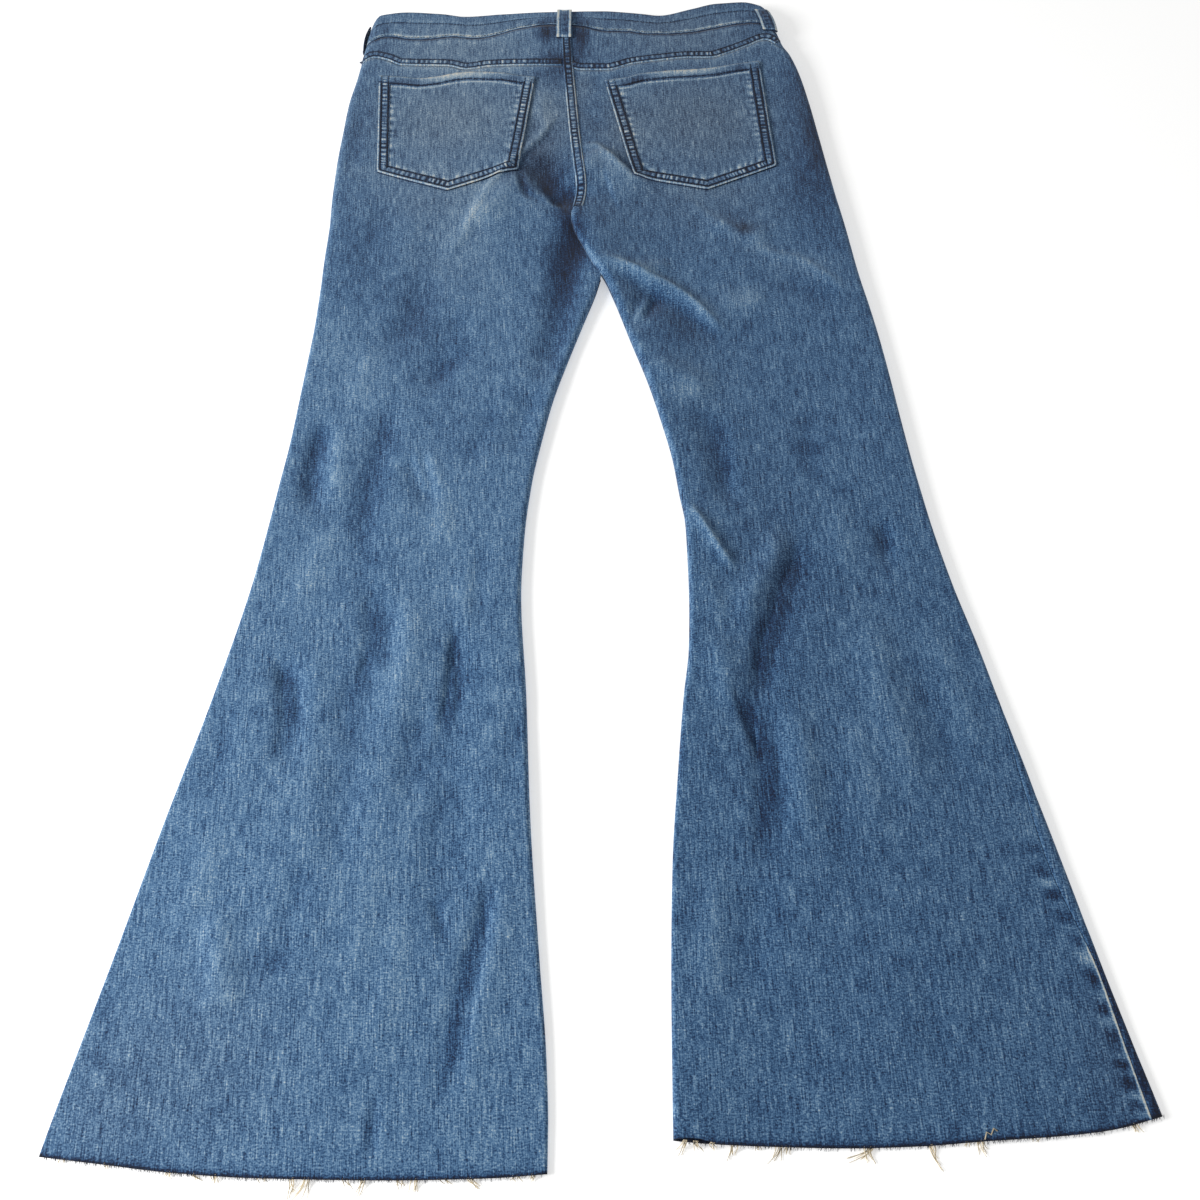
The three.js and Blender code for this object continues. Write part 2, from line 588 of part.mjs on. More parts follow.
// The places round a half where a layer's columns stand, each as { s, fromInner }
function columns(side, up, layer, flats) {
  const half = HALVES[side];
  const sign = layer === "top" ? 1 : -1;
  const seam = along(SIDE_SEAM[side], up, "up", "inset");
  const zone = Math.max(0.85 * along(STACK, up, "up", "outer"), layer === "top" ? seam : 0) + 2;
  const innerZone = 0.85 * along(STACK, up, "up", half.inner) + 2;
  const width = Math.abs(innerX(side, up) - outerX(side, up));
  const list = [];
  if (layer === "bottom") {
    list.push({ s: seam - HALF_GAP, fromInner: false });
    list.push({ s: (seam - HALF_GAP) / 2, fromInner: false });
  }
  for (let i = 0; i <= EDGE_COLUMNS; i++) {
    const start = layer === "top" ? seam + HALF_GAP : 0;
    list.push({ s: sign * mix(start, zone, i / EDGE_COLUMNS), fromInner: false });
  }
  const flat = width - zone - innerZone;
  for (let i = 1; i < flats; i++) list.push({ s: sign * (zone + (flat * i) / flats), fromInner: false });
  for (let i = EDGE_COLUMNS; i >= 0; i--) {
    list.push({ s: mix(INNER_GAP, innerZone, i / EDGE_COLUMNS), fromInner: true });
  }
  return list;
}

// A grid runs from the outer edge to the inner one, so its faces turn round with the side and the layer
const turned = (side, layer) => (side === "left" ? 1 : -1) * (layer === "top" ? 1 : -1);

const NEAR = 0.05; // the step that slopes are taken over
const EVEN_PASSES = 14; // to settle a row on a line that depends on where the row lies

// A point of a half's surface with its outward normal
function surfacePoint(side, up, spot, layer) {
  const { s, fromInner } = spot;
  const pick = (u, v) => around(side, u, v, fromInner, fromInner ? layer : undefined);
  const inwards = fromInner || layer === "bottom" ? -NEAR : NEAR;
  const across = pick(up, s + inwards).sub(pick(up, s - inwards));
  const upwards = pick(up + NEAR, s).sub(pick(up - NEAR, s));
  const point = pick(up, s);
  point.normal = across.cross(upwards).normalize().multiplyScalar(turned(side, layer));
  return point;
}

// One layer of one half between two lines: a grid of outer points, rows from the lower line to the upper one
function panelGrid(side, layer, rows, flats, place) {
  return rows.map((row) => {
    const spots = columns(side, row, layer, flats);
    return spots.map((_, k) => {
      let up = row;
      for (let pass = 0; pass < EVEN_PASSES; pass++) {
        const spot = columns(side, up, layer, flats)[k];
        up = place(row, surfacePoint(side, up, spot, layer).x);
      }
      return surfacePoint(side, up, columns(side, up, layer, flats)[k], layer);
    });
  });
}

// Closes a grid of outer points into a wall whose inner face lies the given depth inside it
function wall(grid, depth, straight, rise = () => 0) {
  const points = grid.flat();
  const outer = points.map((p) => p.clone().addScaledVector(p.normal, rise(p)));
  const inner = points.map((p) => p.clone().addScaledVector(p.normal, -depth));
  return closed([...outer, ...inner], grid.length, grid[0].length, straight);
}

// The closed surface of two sheets of rows x count points, the first outside
function closed(points, rows, count, straight) {
  const positions = new Float32Array(points.flatMap((p) => [p.x, p.y, p.z]));
  const index = [];
  const under = rows * count;
  const quad = (a, b, c, d) => {
    if (straight) index.push(a, b, c, a, c, d);
    else index.push(a, c, b, a, d, c);
  };
  for (let r = 0; r + 1 < rows; r++)
    for (let c = 0; c + 1 < count; c++) {
      const a = r * count + c;
      quad(a, a + 1, a + count + 1, a + count);
      quad(under + a, under + a + count, under + a + count + 1, under + a + 1);
    }
  const rim = (a, b) => quad(a, under + a, under + b, b);
  for (let c = 0; c + 1 < count; c++) {
    rim(c, c + 1);
    rim((rows - 1) * count + c + 1, (rows - 1) * count + c);
  }
  for (let r = 0; r + 1 < rows; r++) {
    rim((r + 1) * count, r * count);
    rim(r * count + count - 1, (r + 1) * count + count - 1);
  }
  const geometry = new THREE.BufferGeometry();
  geometry.setAttribute("position", new THREE.BufferAttribute(positions, 3));
  geometry.setIndex(index);
  geometry.computeVertexNormals();
  return geometry;
}

function rowsOf(stretches) {
  const list = [];
  for (const { from, to, step } of stretches) {
    const count = Math.round((to - from) / step);
    for (let i = 0; i < count; i++) list.push(mix(from, to, i / count));
  }
  list.push(stretches[stretches.length - 1].to);
  return list;
}

// Evens a row out from the slanting hem line below to the curved seam line above
function leg(side, topLine) {
  return (row, x) => {
    const nearHem = 1 - ease(row / 150);
    const nearTop = 1 - ease((NOMINAL_TOP - row) / 130);
    const top = along(topLine, x, "x", "up") - HALF_GAP - NOMINAL_TOP;
    return row + along(HEM_LINE[side], x, "x", "up") * nearHem + top * nearTop;
  };
}

// Spreads rows 0 to 1 between two lines across the garment
function between(lower, upper) {
  const low = (x) => along(lower, x, "x", "up") + GAP;
  const high = (x) => along(upper, x, "x", "up");
  return (row, x) => mix(low(x), high(x), row);
}

const garment = new THREE.Group();
const meshes = {};

function add(name, geometry, look) {
  const mesh = new THREE.Mesh(geometry, new THREE.MeshStandardMaterial(look));
  mesh.name = name;
  meshes[name] = mesh;
  garment.add(mesh);
  return mesh;
}

for (const side of ["left", "right"]) {
  const ridge = (p) => seamRise(p.x, p.y);
  const back = panelGrid(side, "top", rowsOf(BACK_ROWS), BACK_COLUMNS, leg(side, YOKE_LINE));
  add("back_panel_" + side, wall(back, WALL, turned(side, "top") > 0, ridge), DENIM);

  const seamTop = BAND_LINE.map(({ x, up }) => ({ x, up: up - HALF_GAP }));
  const yoke = panelGrid(side, "top", YOKE_ROWS, BACK_COLUMNS, between(YOKE_LINE, seamTop));
  add("back_yoke_" + side, wall(yoke, WALL, turned(side, "top") > 0, ridge), DENIM_SEAT);

  const front = panelGrid(side, "bottom", rowsOf(FRONT_ROWS), FRONT_COLUMNS, leg(side, FRONT_SEAM_LINE));
  add("front_panel_" + side, wall(front, WALL, turned(side, "bottom") > 0), DENIM);

  const bandPlace = between(FRONT_SEAM_LINE, FRONT_TOP);
  const band = panelGrid(side, "bottom", FRONT_BAND_ROWS, FRONT_COLUMNS, bandPlace);
  add("waistband_front_" + side, wall(band, BAND_WALL, turned(side, "bottom") > 0), DENIM_SEAT);
}

// The back waistband runs whole from side seam to side seam
{
  const place = between(BAND_LINE, BACK_TOP);
  const left = panelGrid("left", "top", BACK_BAND_ROWS, BACK_COLUMNS, place);
  const right = panelGrid("right", "top", BACK_BAND_ROWS, BACK_COLUMNS, place);
  const grid = left.map((row, r) => [...row.slice(0, -1), ...right[r].slice(0, -1).reverse()]);
  add("waistband_back", wall(grid, BAND_WALL, true), DENIM_SEAT);
}

// The height of a mesh's upper (or, from below, its lower) face over a place
const ray = new THREE.Raycaster();
function heightOn(names, x, up, fromBelow = false) {
  const start = new THREE.Vector3(x, up, fromBelow ? -50 : 80);
  ray.set(start, new THREE.Vector3(0, 0, fromBelow ? 1 : -1));
  const hits = ray.intersectObjects(names.map((name) => meshes[name]));
  return hits.length ? hits[0].point.z : null;
}

// A back pocket lies on its panel: its underside is made from the panel's own points
for (const side of ["left", "right"]) {
  const p = POCKETS[side];
  const lower = (a) => {
    const tip = 1 - Math.abs(2 * a - 1);
    const x = mix(p.bottomLeft[0], p.bottomRight[0], a);
    const straight = mix(p.bottomLeft[1], p.bottomRight[1], a);
    const tipDrop = (p.bottomLeft[1] + p.bottomRight[1]) / 2 - p.tip[1];
    return [x, straight - tipDrop * tip];
  };
  const upper = (a) => {
    const straight = mix(p.topLeft[1], p.topRight[1], a);
    return [mix(p.topLeft[0], p.topRight[0], a), straight + POCKET_ARCH * Math.sin(Math.PI * a)];
  };
  const even = Array.from({ length: POCKET_ALONG }, (_, i) => i / POCKET_ALONG);
  const top = 1 - POCKET_HEM / POCKET_TALL;
  const step = POCKET_STEP / POCKET_TALL;
  const shares = [...even.filter((v) => v < top - 0.5 / POCKET_ALONG), top - step, top, 1];
  const base = shares.map((v) =>
    Array.from({ length: POCKET_ACROSS + 1 }, (_, c) => {
      const [x0, y0] = lower(c / POCKET_ACROSS);
      const [x1, y1] = upper(c / POCKET_ACROSS);
      const x = mix(x0, x1, v);
      const up = mix(y0, y1, v);
      const under = NEIGHBOURS.map(([dx, dy]) => heightOn(["back_panel_" + side], x + dx, up + dy));
      return new THREE.Vector3(x, up, Math.max(...under) + POCKET_LIFT);
    }),
  );
  const outer = base.map((row, r) =>
    row.map((q) => q.clone().setZ(q.z + POCKET_WALL + (shares[r] >= top ? POCKET_HEM_RISE : 0))),
  );
  const points = [...outer.flat(), ...base.flat()];
  add("back_pocket_" + side, closed(points, base.length, base[0].length, true), DENIM_SEAT);
}

// A belt loop is a strip laid along the band, bowed off it in the middle
function loopOn(pointAt, upFrom, upTo) {
  const rows = LOOP_STEPS;
  const across = LOOP_ACROSS;
  const grid = Array.from({ length: rows + 1 }, (_, r) =>
    Array.from({ length: across + 1 }, (_, c) => pointAt(c / across - 0.5, mix(upFrom, upTo, r / rows))),
  );
  const outer = [];
  const inner = [];
  const at = (r, c) => grid[Math.min(rows, Math.max(0, r))][Math.min(across, Math.max(0, c))];
  for (let r = 0; r <= rows; r++)
    for (let c = 0; c <= across; c++) {
      const sideways = at(r, c + 1).clone().sub(at(r, c - 1));
      const upwards = at(r + 1, c).clone().sub(at(r - 1, c));
      const normal = sideways.cross(upwards).normalize();
      const bow = LOOP_BOW * Math.sin((Math.PI * r) / rows);
      inner.push(at(r, c).clone().addScaledVector(normal, LOOP_OFF + bow));
      outer.push(at(r, c).clone().addScaledVector(normal, LOOP_OFF + bow + LOOP_WALL));
    }
  return closed([...outer, ...inner], rows + 1, across + 1, true);
}

for (const loop of LOOPS) {
  if (loop.layer === "top") {
    const names = ["waistband_back", "back_yoke_left", "back_yoke_right"];
    const from = along(BAND_LINE, loop.x, "x", "up") - LOOP_TAIL - LONG_TAIL;
    const to = along(BACK_TOP, loop.x, "x", "up") - LOOP_TOP;
    const places = Array.from({ length: LOOP_ACROSS + 1 }, (_, c) => c / LOOP_ACROSS - 0.5);
    const tallest = (up) =>
      Math.max(...places.map((k) => heightOn(names, loop.x + k * LOOP_WIDTH, up) ?? 0));
    const at = (a, up) => new THREE.Vector3(loop.x + a * LOOP_WIDTH, up, tallest(up));
    add(loop.name, loopOn(at, from, to), DENIM_SEAT);
  } else if (loop.layer === "bottom") {
    const from = along(FRONT_SEAM_LINE, loop.x, "x", "up") - LOOP_TAIL;
    const to = along(FRONT_TOP, loop.x, "x", "up") - LOOP_TOP;
    const at = (a, up) => new THREE.Vector3(loop.x - a * LOOP_WIDTH, up, FRONT_LIFT + GAP);
    add(loop.name, loopOn(at, from, to), DENIM_SEAT);
  } else {
    const middle = around(loop.side, 1000, loop.around).x;
    const from = along(BAND_LINE, middle, "x", "up") - LOOP_TAIL;
    const to = along(BACK_TOP, middle, "x", "up") - LOOP_TOP;
    const turn = loop.side === "left" ? 1 : -1;
    const at = (a, up) => {
      const point = around(loop.side, up, loop.around + turn * a * LOOP_WIDTH);
      if (loop.side === "right") point.z += seamRise(point.x, up);
      return point;
    };
    add(loop.name, loopOn(at, from, to), DENIM_SEAT);
  }
}

// The waist button lies under the front band, on the floor side
{
  const up = along(FRONT_TOP, BUTTON.x, "x", "up") - BUTTON.below;
  const { radius, thick, rim, dish, lip } = BUTTON;
  const top = FRONT_LIFT - GAP - BUTTON_OFF_FLOOR;
  const profile = [
    [0, lip],
    [radius - dish, lip],
    [radius - dish + rim, 0],
    [radius - rim, 0],
    [radius, rim],
    [radius, thick - lip],
    [radius - lip, thick],
    [SHANK_RADIUS, thick],
    [SHANK_RADIUS, top],
    [0, top],
  ];
  const disc = new THREE.LatheGeometry(profile.map(([r, z]) => new THREE.Vector2(r, z)), BUTTON_SIDES);
  disc.rotateX(Math.PI / 2);
  disc.translate(BUTTON.x, up, BUTTON_OFF_FLOOR);
  add("waist_button", disc, METAL);
}

// A closed mesh as a manifold solid, and back
function solid(geometry) {
  const bare = new THREE.BufferGeometry();
  bare.setAttribute("position", geometry.getAttribute("position"));
  bare.setIndex(geometry.getIndex());
  const merged = mergeVertices(bare, 1e-4);
  return new wasm.Manifold(
    new wasm.Mesh({
      numProp: 3,
      vertProperties: merged.getAttribute("position").array,
      triVerts: new Uint32Array(merged.getIndex().array),
    }),
  );
}

function shape(made) {
  const mesh = made.getMesh();
  const geometry = new THREE.BufferGeometry();
  const positions = new Float32Array((mesh.vertProperties.length / mesh.numProp) * 3);
  for (let i = 0; i < positions.length / 3; i++)
    positions.set(mesh.vertProperties.subarray(i * mesh.numProp, i * mesh.numProp + 3), i * 3);
  geometry.setAttribute("position", new THREE.BufferAttribute(positions, 3));
  geometry.setIndex(new THREE.BufferAttribute(mesh.triVerts, 1));
  geometry.computeVertexNormals();
  return geometry;
}

// A thread of three sides that tapers from its root along a bent line
function thread(points, width) {
  const rings = points.length;
  const rows = points.map((p, i) => {
    const size = width * (i === rings - 1 ? 0.35 : 1 - (0.45 * i) / rings);
    return [0, 1, 2].map((k) => {
      const angle = (k * 2 * Math.PI) / 3 + Math.PI / 2;
      return new THREE.Vector3(p.x + (Math.cos(angle) * size) / 2, p.y, p.z + (Math.sin(angle) * size) / 2);
    });
  });
  const flat = rows.flat();
  const index = [];
  for (let i = 0; i + 1 < rings; i++)
    for (let k = 0; k < 3; k++) {
      const a = i * 3 + k;
      const b = i * 3 + ((k + 1) % 3);
      index.push(a, b, b + 3, a, b + 3, a + 3);
    }
  index.push(0, 2, 1);
  const end = (rings - 1) * 3;
  index.push(end, end + 1, end + 2);
  const positions = new Float32Array(flat.flatMap((p) => [p.x, p.y, p.z]));
  const geometry = new THREE.BufferGeometry();
  geometry.setAttribute("position", new THREE.BufferAttribute(positions, 3));
  geometry.setIndex(index);
  return geometry;
}

// The loosened edge of each hem: a narrow strip with its tufts of thread
for (const side of ["left", "right"]) {
  const name = "back_panel_" + side;
  const half = HALVES[side];
  const hemAt = (x) => along(HEM_LINE[side], x, "x", "up");
  const seam = along(SIDE_SEAM[side], 0, "up", "inset");
  const first = outerX(side, hemAt(outerX(side, 0))) + half.toInner * (STRIP_MARGIN + seam);
  const last = innerX(side, hemAt(innerX(side, 0))) - half.toInner * STRIP_MARGIN;
  const grid = [0, 1].map((r) =>
    Array.from({ length: STRIP_STEPS + 1 }, (_, i) => {
      const x = mix(first, last, i / STRIP_STEPS);
      const up = hemAt(x);
      const z = heightOn([name], x, up + HEM_MARGIN) - STRIP_SINK;
      const point = new THREE.Vector3(x, up - GAP - TUFT_STRIP * (1 - r), z);
      point.normal = new THREE.Vector3(0, 0, 1);
      return point;
    }),
  );
  let fringe = solid(wall(grid, STRIP_THICK, side === "left"));
  for (const tuft of TUFTS[side])
    for (let k = 0; k < tuft.threads; k++) {
      const spread = k - (tuft.threads - 1) / 2;
      const x = tuft.x + spread * THREAD_SPREAD;
      const start = hemAt(x) - GAP - TUFT_STRIP + ROOT_DEPTH;
      const root = heightOn([name], x, hemAt(x) + HEM_MARGIN) - ROOT_SINK;
      const reach = tuft.reach * (1 - 0.22 * k);
      const lean = tuft.lean * (1 - 0.3 * k) - spread * 1.2;
      const drop = 0.7 + reach / 14; // a longer thread comes down to the floor sooner
      const points = THREAD_POINTS.map((t) => {
        const z = Math.max(mix(ROOT_FLOOR, TIP_FLOOR, t), mix(root, TIP_FLOOR, Math.min(1, t * drop)));
        return new THREE.Vector3(x + lean * t * t, start - (reach + ROOT_DEPTH) * t, z);
      });
      fringe = fringe.add(solid(thread(points, THREAD_WIDE)));
    }
  add("hem_fringe_" + side, shape(fringe), THREAD);
}

const group = new THREE.Group();
garment.position.set(-MIDDLE_X, -MIDDLE_UP, 0);
group.add(garment);

export default group;
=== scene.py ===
"""Flared jeans lying flat on a pale floor, back side up, seen from the hems towards the waist.

The tables measure in millimetres: "up" from the hems' level and "x" from the line that the legs part on,
as the solids' own tables do. Every mesh is shifted to the part's frame and scaled to metres at the end.
"""
import math

import bpy
import numpy as np
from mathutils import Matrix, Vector


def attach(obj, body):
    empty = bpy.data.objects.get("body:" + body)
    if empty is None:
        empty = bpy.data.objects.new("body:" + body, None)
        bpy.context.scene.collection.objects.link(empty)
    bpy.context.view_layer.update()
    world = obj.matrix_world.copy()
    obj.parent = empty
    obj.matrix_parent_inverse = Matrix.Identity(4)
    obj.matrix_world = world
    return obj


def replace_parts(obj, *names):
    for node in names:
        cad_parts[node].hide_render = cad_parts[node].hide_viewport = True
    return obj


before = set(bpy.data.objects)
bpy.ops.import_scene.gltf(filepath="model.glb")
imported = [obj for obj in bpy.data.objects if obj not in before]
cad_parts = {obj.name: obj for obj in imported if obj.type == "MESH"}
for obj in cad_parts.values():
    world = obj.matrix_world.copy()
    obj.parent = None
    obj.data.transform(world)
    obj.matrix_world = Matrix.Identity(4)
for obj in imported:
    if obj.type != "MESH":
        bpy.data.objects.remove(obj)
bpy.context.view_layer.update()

MIDDLE_X, MIDDLE_UP = 2.9, 514.65  # the middle of the garment's box
WALL, BAND_WALL, LOOP_WALL = 1.2, 2.2, 1.5  # the cloth's thickness
GAP = 0.3  # between two pieces at a seam
SEAM_WIDTH = 9.5
SEAM_ROWS = (0.2, 0.8)  # where a felled seam's two rows of stitches lie across it
STITCH_PITCH = 3.0
FRONT_LIFT = 3.4  # how far the front waistband lies off the floor, over its button and loops
LIFT_FROM, LIFT_LENGTH = 62, 56  # where below the front's waist seam the front leaves the floor
NOTCH, NOTCH_AT = 2.6, 56  # how deep, and at which x, the right back panel's hem is cut shorter
rng = np.random.default_rng(7)

# The outline of each leg: up, outer edge, inner edge
LEFT_EDGES = [
    (-10, -335.5, -31), (20, -330.3, -31), (60, -322.5, -32.8), (120, -310.5, -38.6),
    (210, -293.4, -46.9), (300, -274.9, -52.3), (390, -259.7, -58.7), (430, -255.3, -57.7),
    (480, -250.8, -53.2), (520, -247.2, -46.2), (560, -245.1, -37.8), (600, -243, -26.2),
    (640, -241.2, -13.7), (680, -240.9, -1.4), (692, -241.1, 0.8), (704, -241.2, -2.6),
    (716, -241.2, -7.2), (727, -241, -10.6), (745, -240.8, -9), (767, -241.6, -1.5),
    (784, -242.2, -8.6), (822, -242.4, -16), (868, -240.9, -22.3), (900, -239.4, -24.6),
    (940, -234.2, -28.6), (980, -230.6, -32), (1000, -229, -33.4), (1020, -225.8, -34.6),
    (1050, -219, -36),
]
RIGHT_EDGES = [
    (-10, 346.5, 43.2), (40, 336, 43.9), (100, 322.7, 44.9), (180, 306.6, 48),
    (240, 294.6, 53.2), (300, 282.3, 59.4), (340, 274.5, 64.6), (390, 263.3, 66.2),
    (440, 254.6, 65.6), (470, 250.6, 61.5), (500, 246.9, 57.6), (540, 242.9, 48.9),
    (580, 239.4, 38.5), (620, 235.4, 25.7), (660, 230, 13.3), (685, 226, 4.6), (704, 223.5, -2.6),
    (716, 222.2, -7.2), (727, 221, -10.6), (745, 219, -9), (767, 216.2, -1.5), (784, 213.8, -8.6),
    (822, 209.4, -16), (868, 204.3, -22.3), (900, 200.3, -24.6), (940, 194.2, -28.6),
    (970, 186.9, -31.4), (984, 180.6, -32.4), (1000, 176.6, -33.4), (1020, 172.4, -34.6),
    (1050, 167, -36),
]
# The edge that shows between the halves: up, x. The seat seam lies along its upper part. Below that, the
# right thigh's edge lies over the left panel, which reaches under it to the line in its own table.
SEAT_LINE = [
    (680, -1.4), (692, 0.8), (704, -6.1), (716, -11.5), (727, -16.2), (745, -23.4), (760, -26),
    (775, -23.6), (794, -21.5), (822, -24), (868, -28.5), (900, -31), (940, -34.2), (980, -36.8),
    (1000, -37.6), (1020, -38), (1050, -39),
]
SEAT_SEAM_ENDS = (1010, 769)
# Where the right back panel laps over the left one, it ends at the edge that shows
LAP_FROM, LAP_TO = 704, 808
LAP = [row for row in SEAT_LINE if LAP_FROM <= row[0] < LAP_TO] + [(LAP_TO, -19.5)]
# How high the upper cloth lies: up, at the outer edge, over the middle, at the left and right inner edges
STACK = [
    (0, 3.6, 3.3, 3.8, 8), (45, 4, 3.6, 4.4, 6), (110, 5, 4.4, 5.4, 5.4), (300, 6.4, 5.4, 7, 7.4),
    (450, 7.4, 5.8, 8, 9), (600, 9, 6.2, 9.6, 11), (690, 10.6, 7.4, 8.4, 14),
    (745, 11.6, 8.8, 7.2, 15.4), (790, 12.4, 9.8, 9.6, 10.6), (850, 13.2, 10.8, 10.8, 10.8),
    (930, 14.8, 12.4, 12.6, 12.6), (980, 15.8, 13.8, 14.6, 14.6), (1008, 16.2, 14.6, 16, 16),
    (1050, 15.4, 14.2, 12.8, 12.8),
]
EDGE_REACH = 42  # how far in from an edge its height is felt
# How free each inner edge is to roll down: up, share
LEFT_FREE = [(684, 1), (706, 0)]
RIGHT_FREE = [(756, 1), (786, 0)]
LANDING = 7.6  # where the right thigh's roll meets the left panel
# How far the side seam lies round on the upper side: up, inset
SIDE_SEAM = {
    "left": [(0, 0.9), (1050, 0.9)],
    "right": [(0, 9.5), (60, 7.5), (110, 5.5), (180, 12), (240, 9), (330, 0.9), (1050, 0.9)],
}
# The seam and hem lines: x, up
HEM_LINE = {
    "left": [(-334, 7.4), (-294, 3.2), (-255, -1), (-201, -4.1), (-123, -5.2), (-65, -4.1), (-32, -2)],
    "right": [(42, 16), (60, 14.4), (95, 12.8), (149, 11.7), (191, 12.8), (230, 15.5), (275, 18.2),
              (305, 21.4), (340, 29.4)],
}
YOKE_LINE = [
    (-232, 955), (-218, 963), (-206, 960), (-192, 954), (-165, 954), (-147, 953.5), (-130, 949),
    (-107, 953), (-78, 954.5), (-37, 954), (-18, 948), (6, 948), (32, 956.5), (60, 961.5),
    (90, 965), (107, 965), (124, 971), (145, 981), (162, 988.5), (178, 976),
]
BAND_LINE = [
    (-230, 982), (-208, 993), (-185, 990), (-167, 991), (-145, 994.5), (-123, 992), (-108, 995),
    (-80, 1006), (-52, 1011), (-18, 1008.5), (4, 1002.5), (28, 1002), (44, 999), (67, 998.5),
    (89, 1000.5), (110, 1005.5), (134, 1012), (152, 1014), (164, 1010), (178, 993),
]
BACK_TOP = [(-228, 1012), (-219, 1025), (-188, 1031), (-157, 1029), (-135, 1025), (-97, 1029), (-50, 1033),
            (0, 1034), (40, 1030), (58, 1027), (94, 1038), (115, 1045), (143, 1047), (160, 1041),
            (174, 1024)]
FRONT_SEAM = [(-230, 982), (-180, 972), (-100, 962), (-34, 956), (40, 964), (110, 980), (178, 993)]
FRONT_TOP = [(-228, 1012), (-180, 1006), (-100, 998), (-34, 993), (40, 1000), (110, 1014), (174, 1024)]

# The large folds, which the solids have too: rise, reach on the left, reach on the right, path
FOLDS = [
    (-4.6, 20, 12, [(-66, 836), (-47, 802), (-22, 762)]),
    (2.2, 14, 9, [(-74, 828), (-91, 789), (-112, 744)]),
    (-3.4, 12, 16, [(-18, 770), (-26, 709), (-37, 625), (-54, 560)]),
    (-1.2, 16, 14, [(-146, 700), (-160, 650), (-180, 596)]),
    (-1.2, 14, 18, [(-112, 660), (-131, 613), (-148, 552)]),
    (-1.7, 9, 12, [(-147, 508), (-139, 484), (-126, 448)]),
    (-1.5, 11, 11, [(-222, 540), (-225, 493), (-221, 440)]),
    (-1.4, 9, 12, [(-50, 578), (-60, 545), (-72, 498)]),
    (-1.9, 14, 8, [(-174, 396), (-164, 349), (-170, 322)]),
    (-1.9, 14, 8, [(-168, 330), (-177, 289), (-164, 250)]),
    (-2.2, 24, 8, [(-236, 336), (-221, 300), (-218, 268), (-224, 244)]),
    (-2, 20, 6, [(-107, 372), (-106, 310), (-111, 262), (-128, 236)]),
    (-1.6, 11, 11, [(-122, 300), (-127, 258), (-129, 214)]),
    (-1.5, 12, 14, [(-170, 262), (-173, 222), (-174, 164)]),
    (-1.7, 20, 12, [(-100, 250), (-103, 208), (-109, 128)]),
    (1.5, 12, 12, [(-208, 345), (-204, 290), (-199, 220)]),
    (1.5, 14, 10, [(-143, 388), (-139, 330), (-148, 262)]),
    (-1.8, 9, 5, [(-71, 182), (-77, 145), (-84, 114), (-92, 80), (-96, 52), (-99, 30)]),
    (1, 12, 7, [(-62, 180), (-72, 112), (-86, 26)]),
    (1.5, 12, 10, [(-252, 156), (-245, 130), (-235, 84)]),
    (3.4, 8, 34, [(-20, 776), (-14, 812), (-3, 832), (14, 826), (34, 804), (52, 786)]),
    (1.7, 7, 9, [(-4, 713), (38, 691), (78, 663), (109, 627)]),
    (-1.8, 7, 15, [(2, 696), (38, 676), (74, 648), (104, 612)]),
    (1.2, 7, 7, [(28, 697), (46, 700), (64, 702)]),
    (-2.2, 9, 9, [(48, 678), (34, 653), (22, 622)]),
    (1.4, 14, 9, [(86, 752), (123, 744), (150, 726)]),
    (1.7, 12, 10, [(36, 594), (66, 582), (98, 568)]),
    (1.4, 6, 8, [(64, 464), (79, 439), (92, 416), (105, 396)]),
    (-2.4, 18, 7, [(157, 450), (148, 417), (136, 387), (128, 362), (119, 338), (115, 312), (117, 290)]),
    (-1.6, 9, 12, [(78, 560), (91, 514), (98, 478), (100, 452)]),
    (2.2, 9, 9, [(136, 446), (130, 412), (112, 380), (104, 346)]),
    (-2, 16, 8, [(106, 330), (112, 291), (114, 250), (112, 208), (105, 156)]),
    (1.5, 10, 14, [(136, 300), (140, 250), (136, 190)]),
    (-1.2, 8, 9, [(217, 450), (217, 425), (216, 395)]),
    (1.6, 12, 10, [(84, 352), (89, 318), (96, 284)]),
    (-1.1, 12, 14, [(106, 178), (100, 136), (90, 84)]),
    (1.5, 13, 16, [(196, 380), (204, 300), (222, 210)]),
]
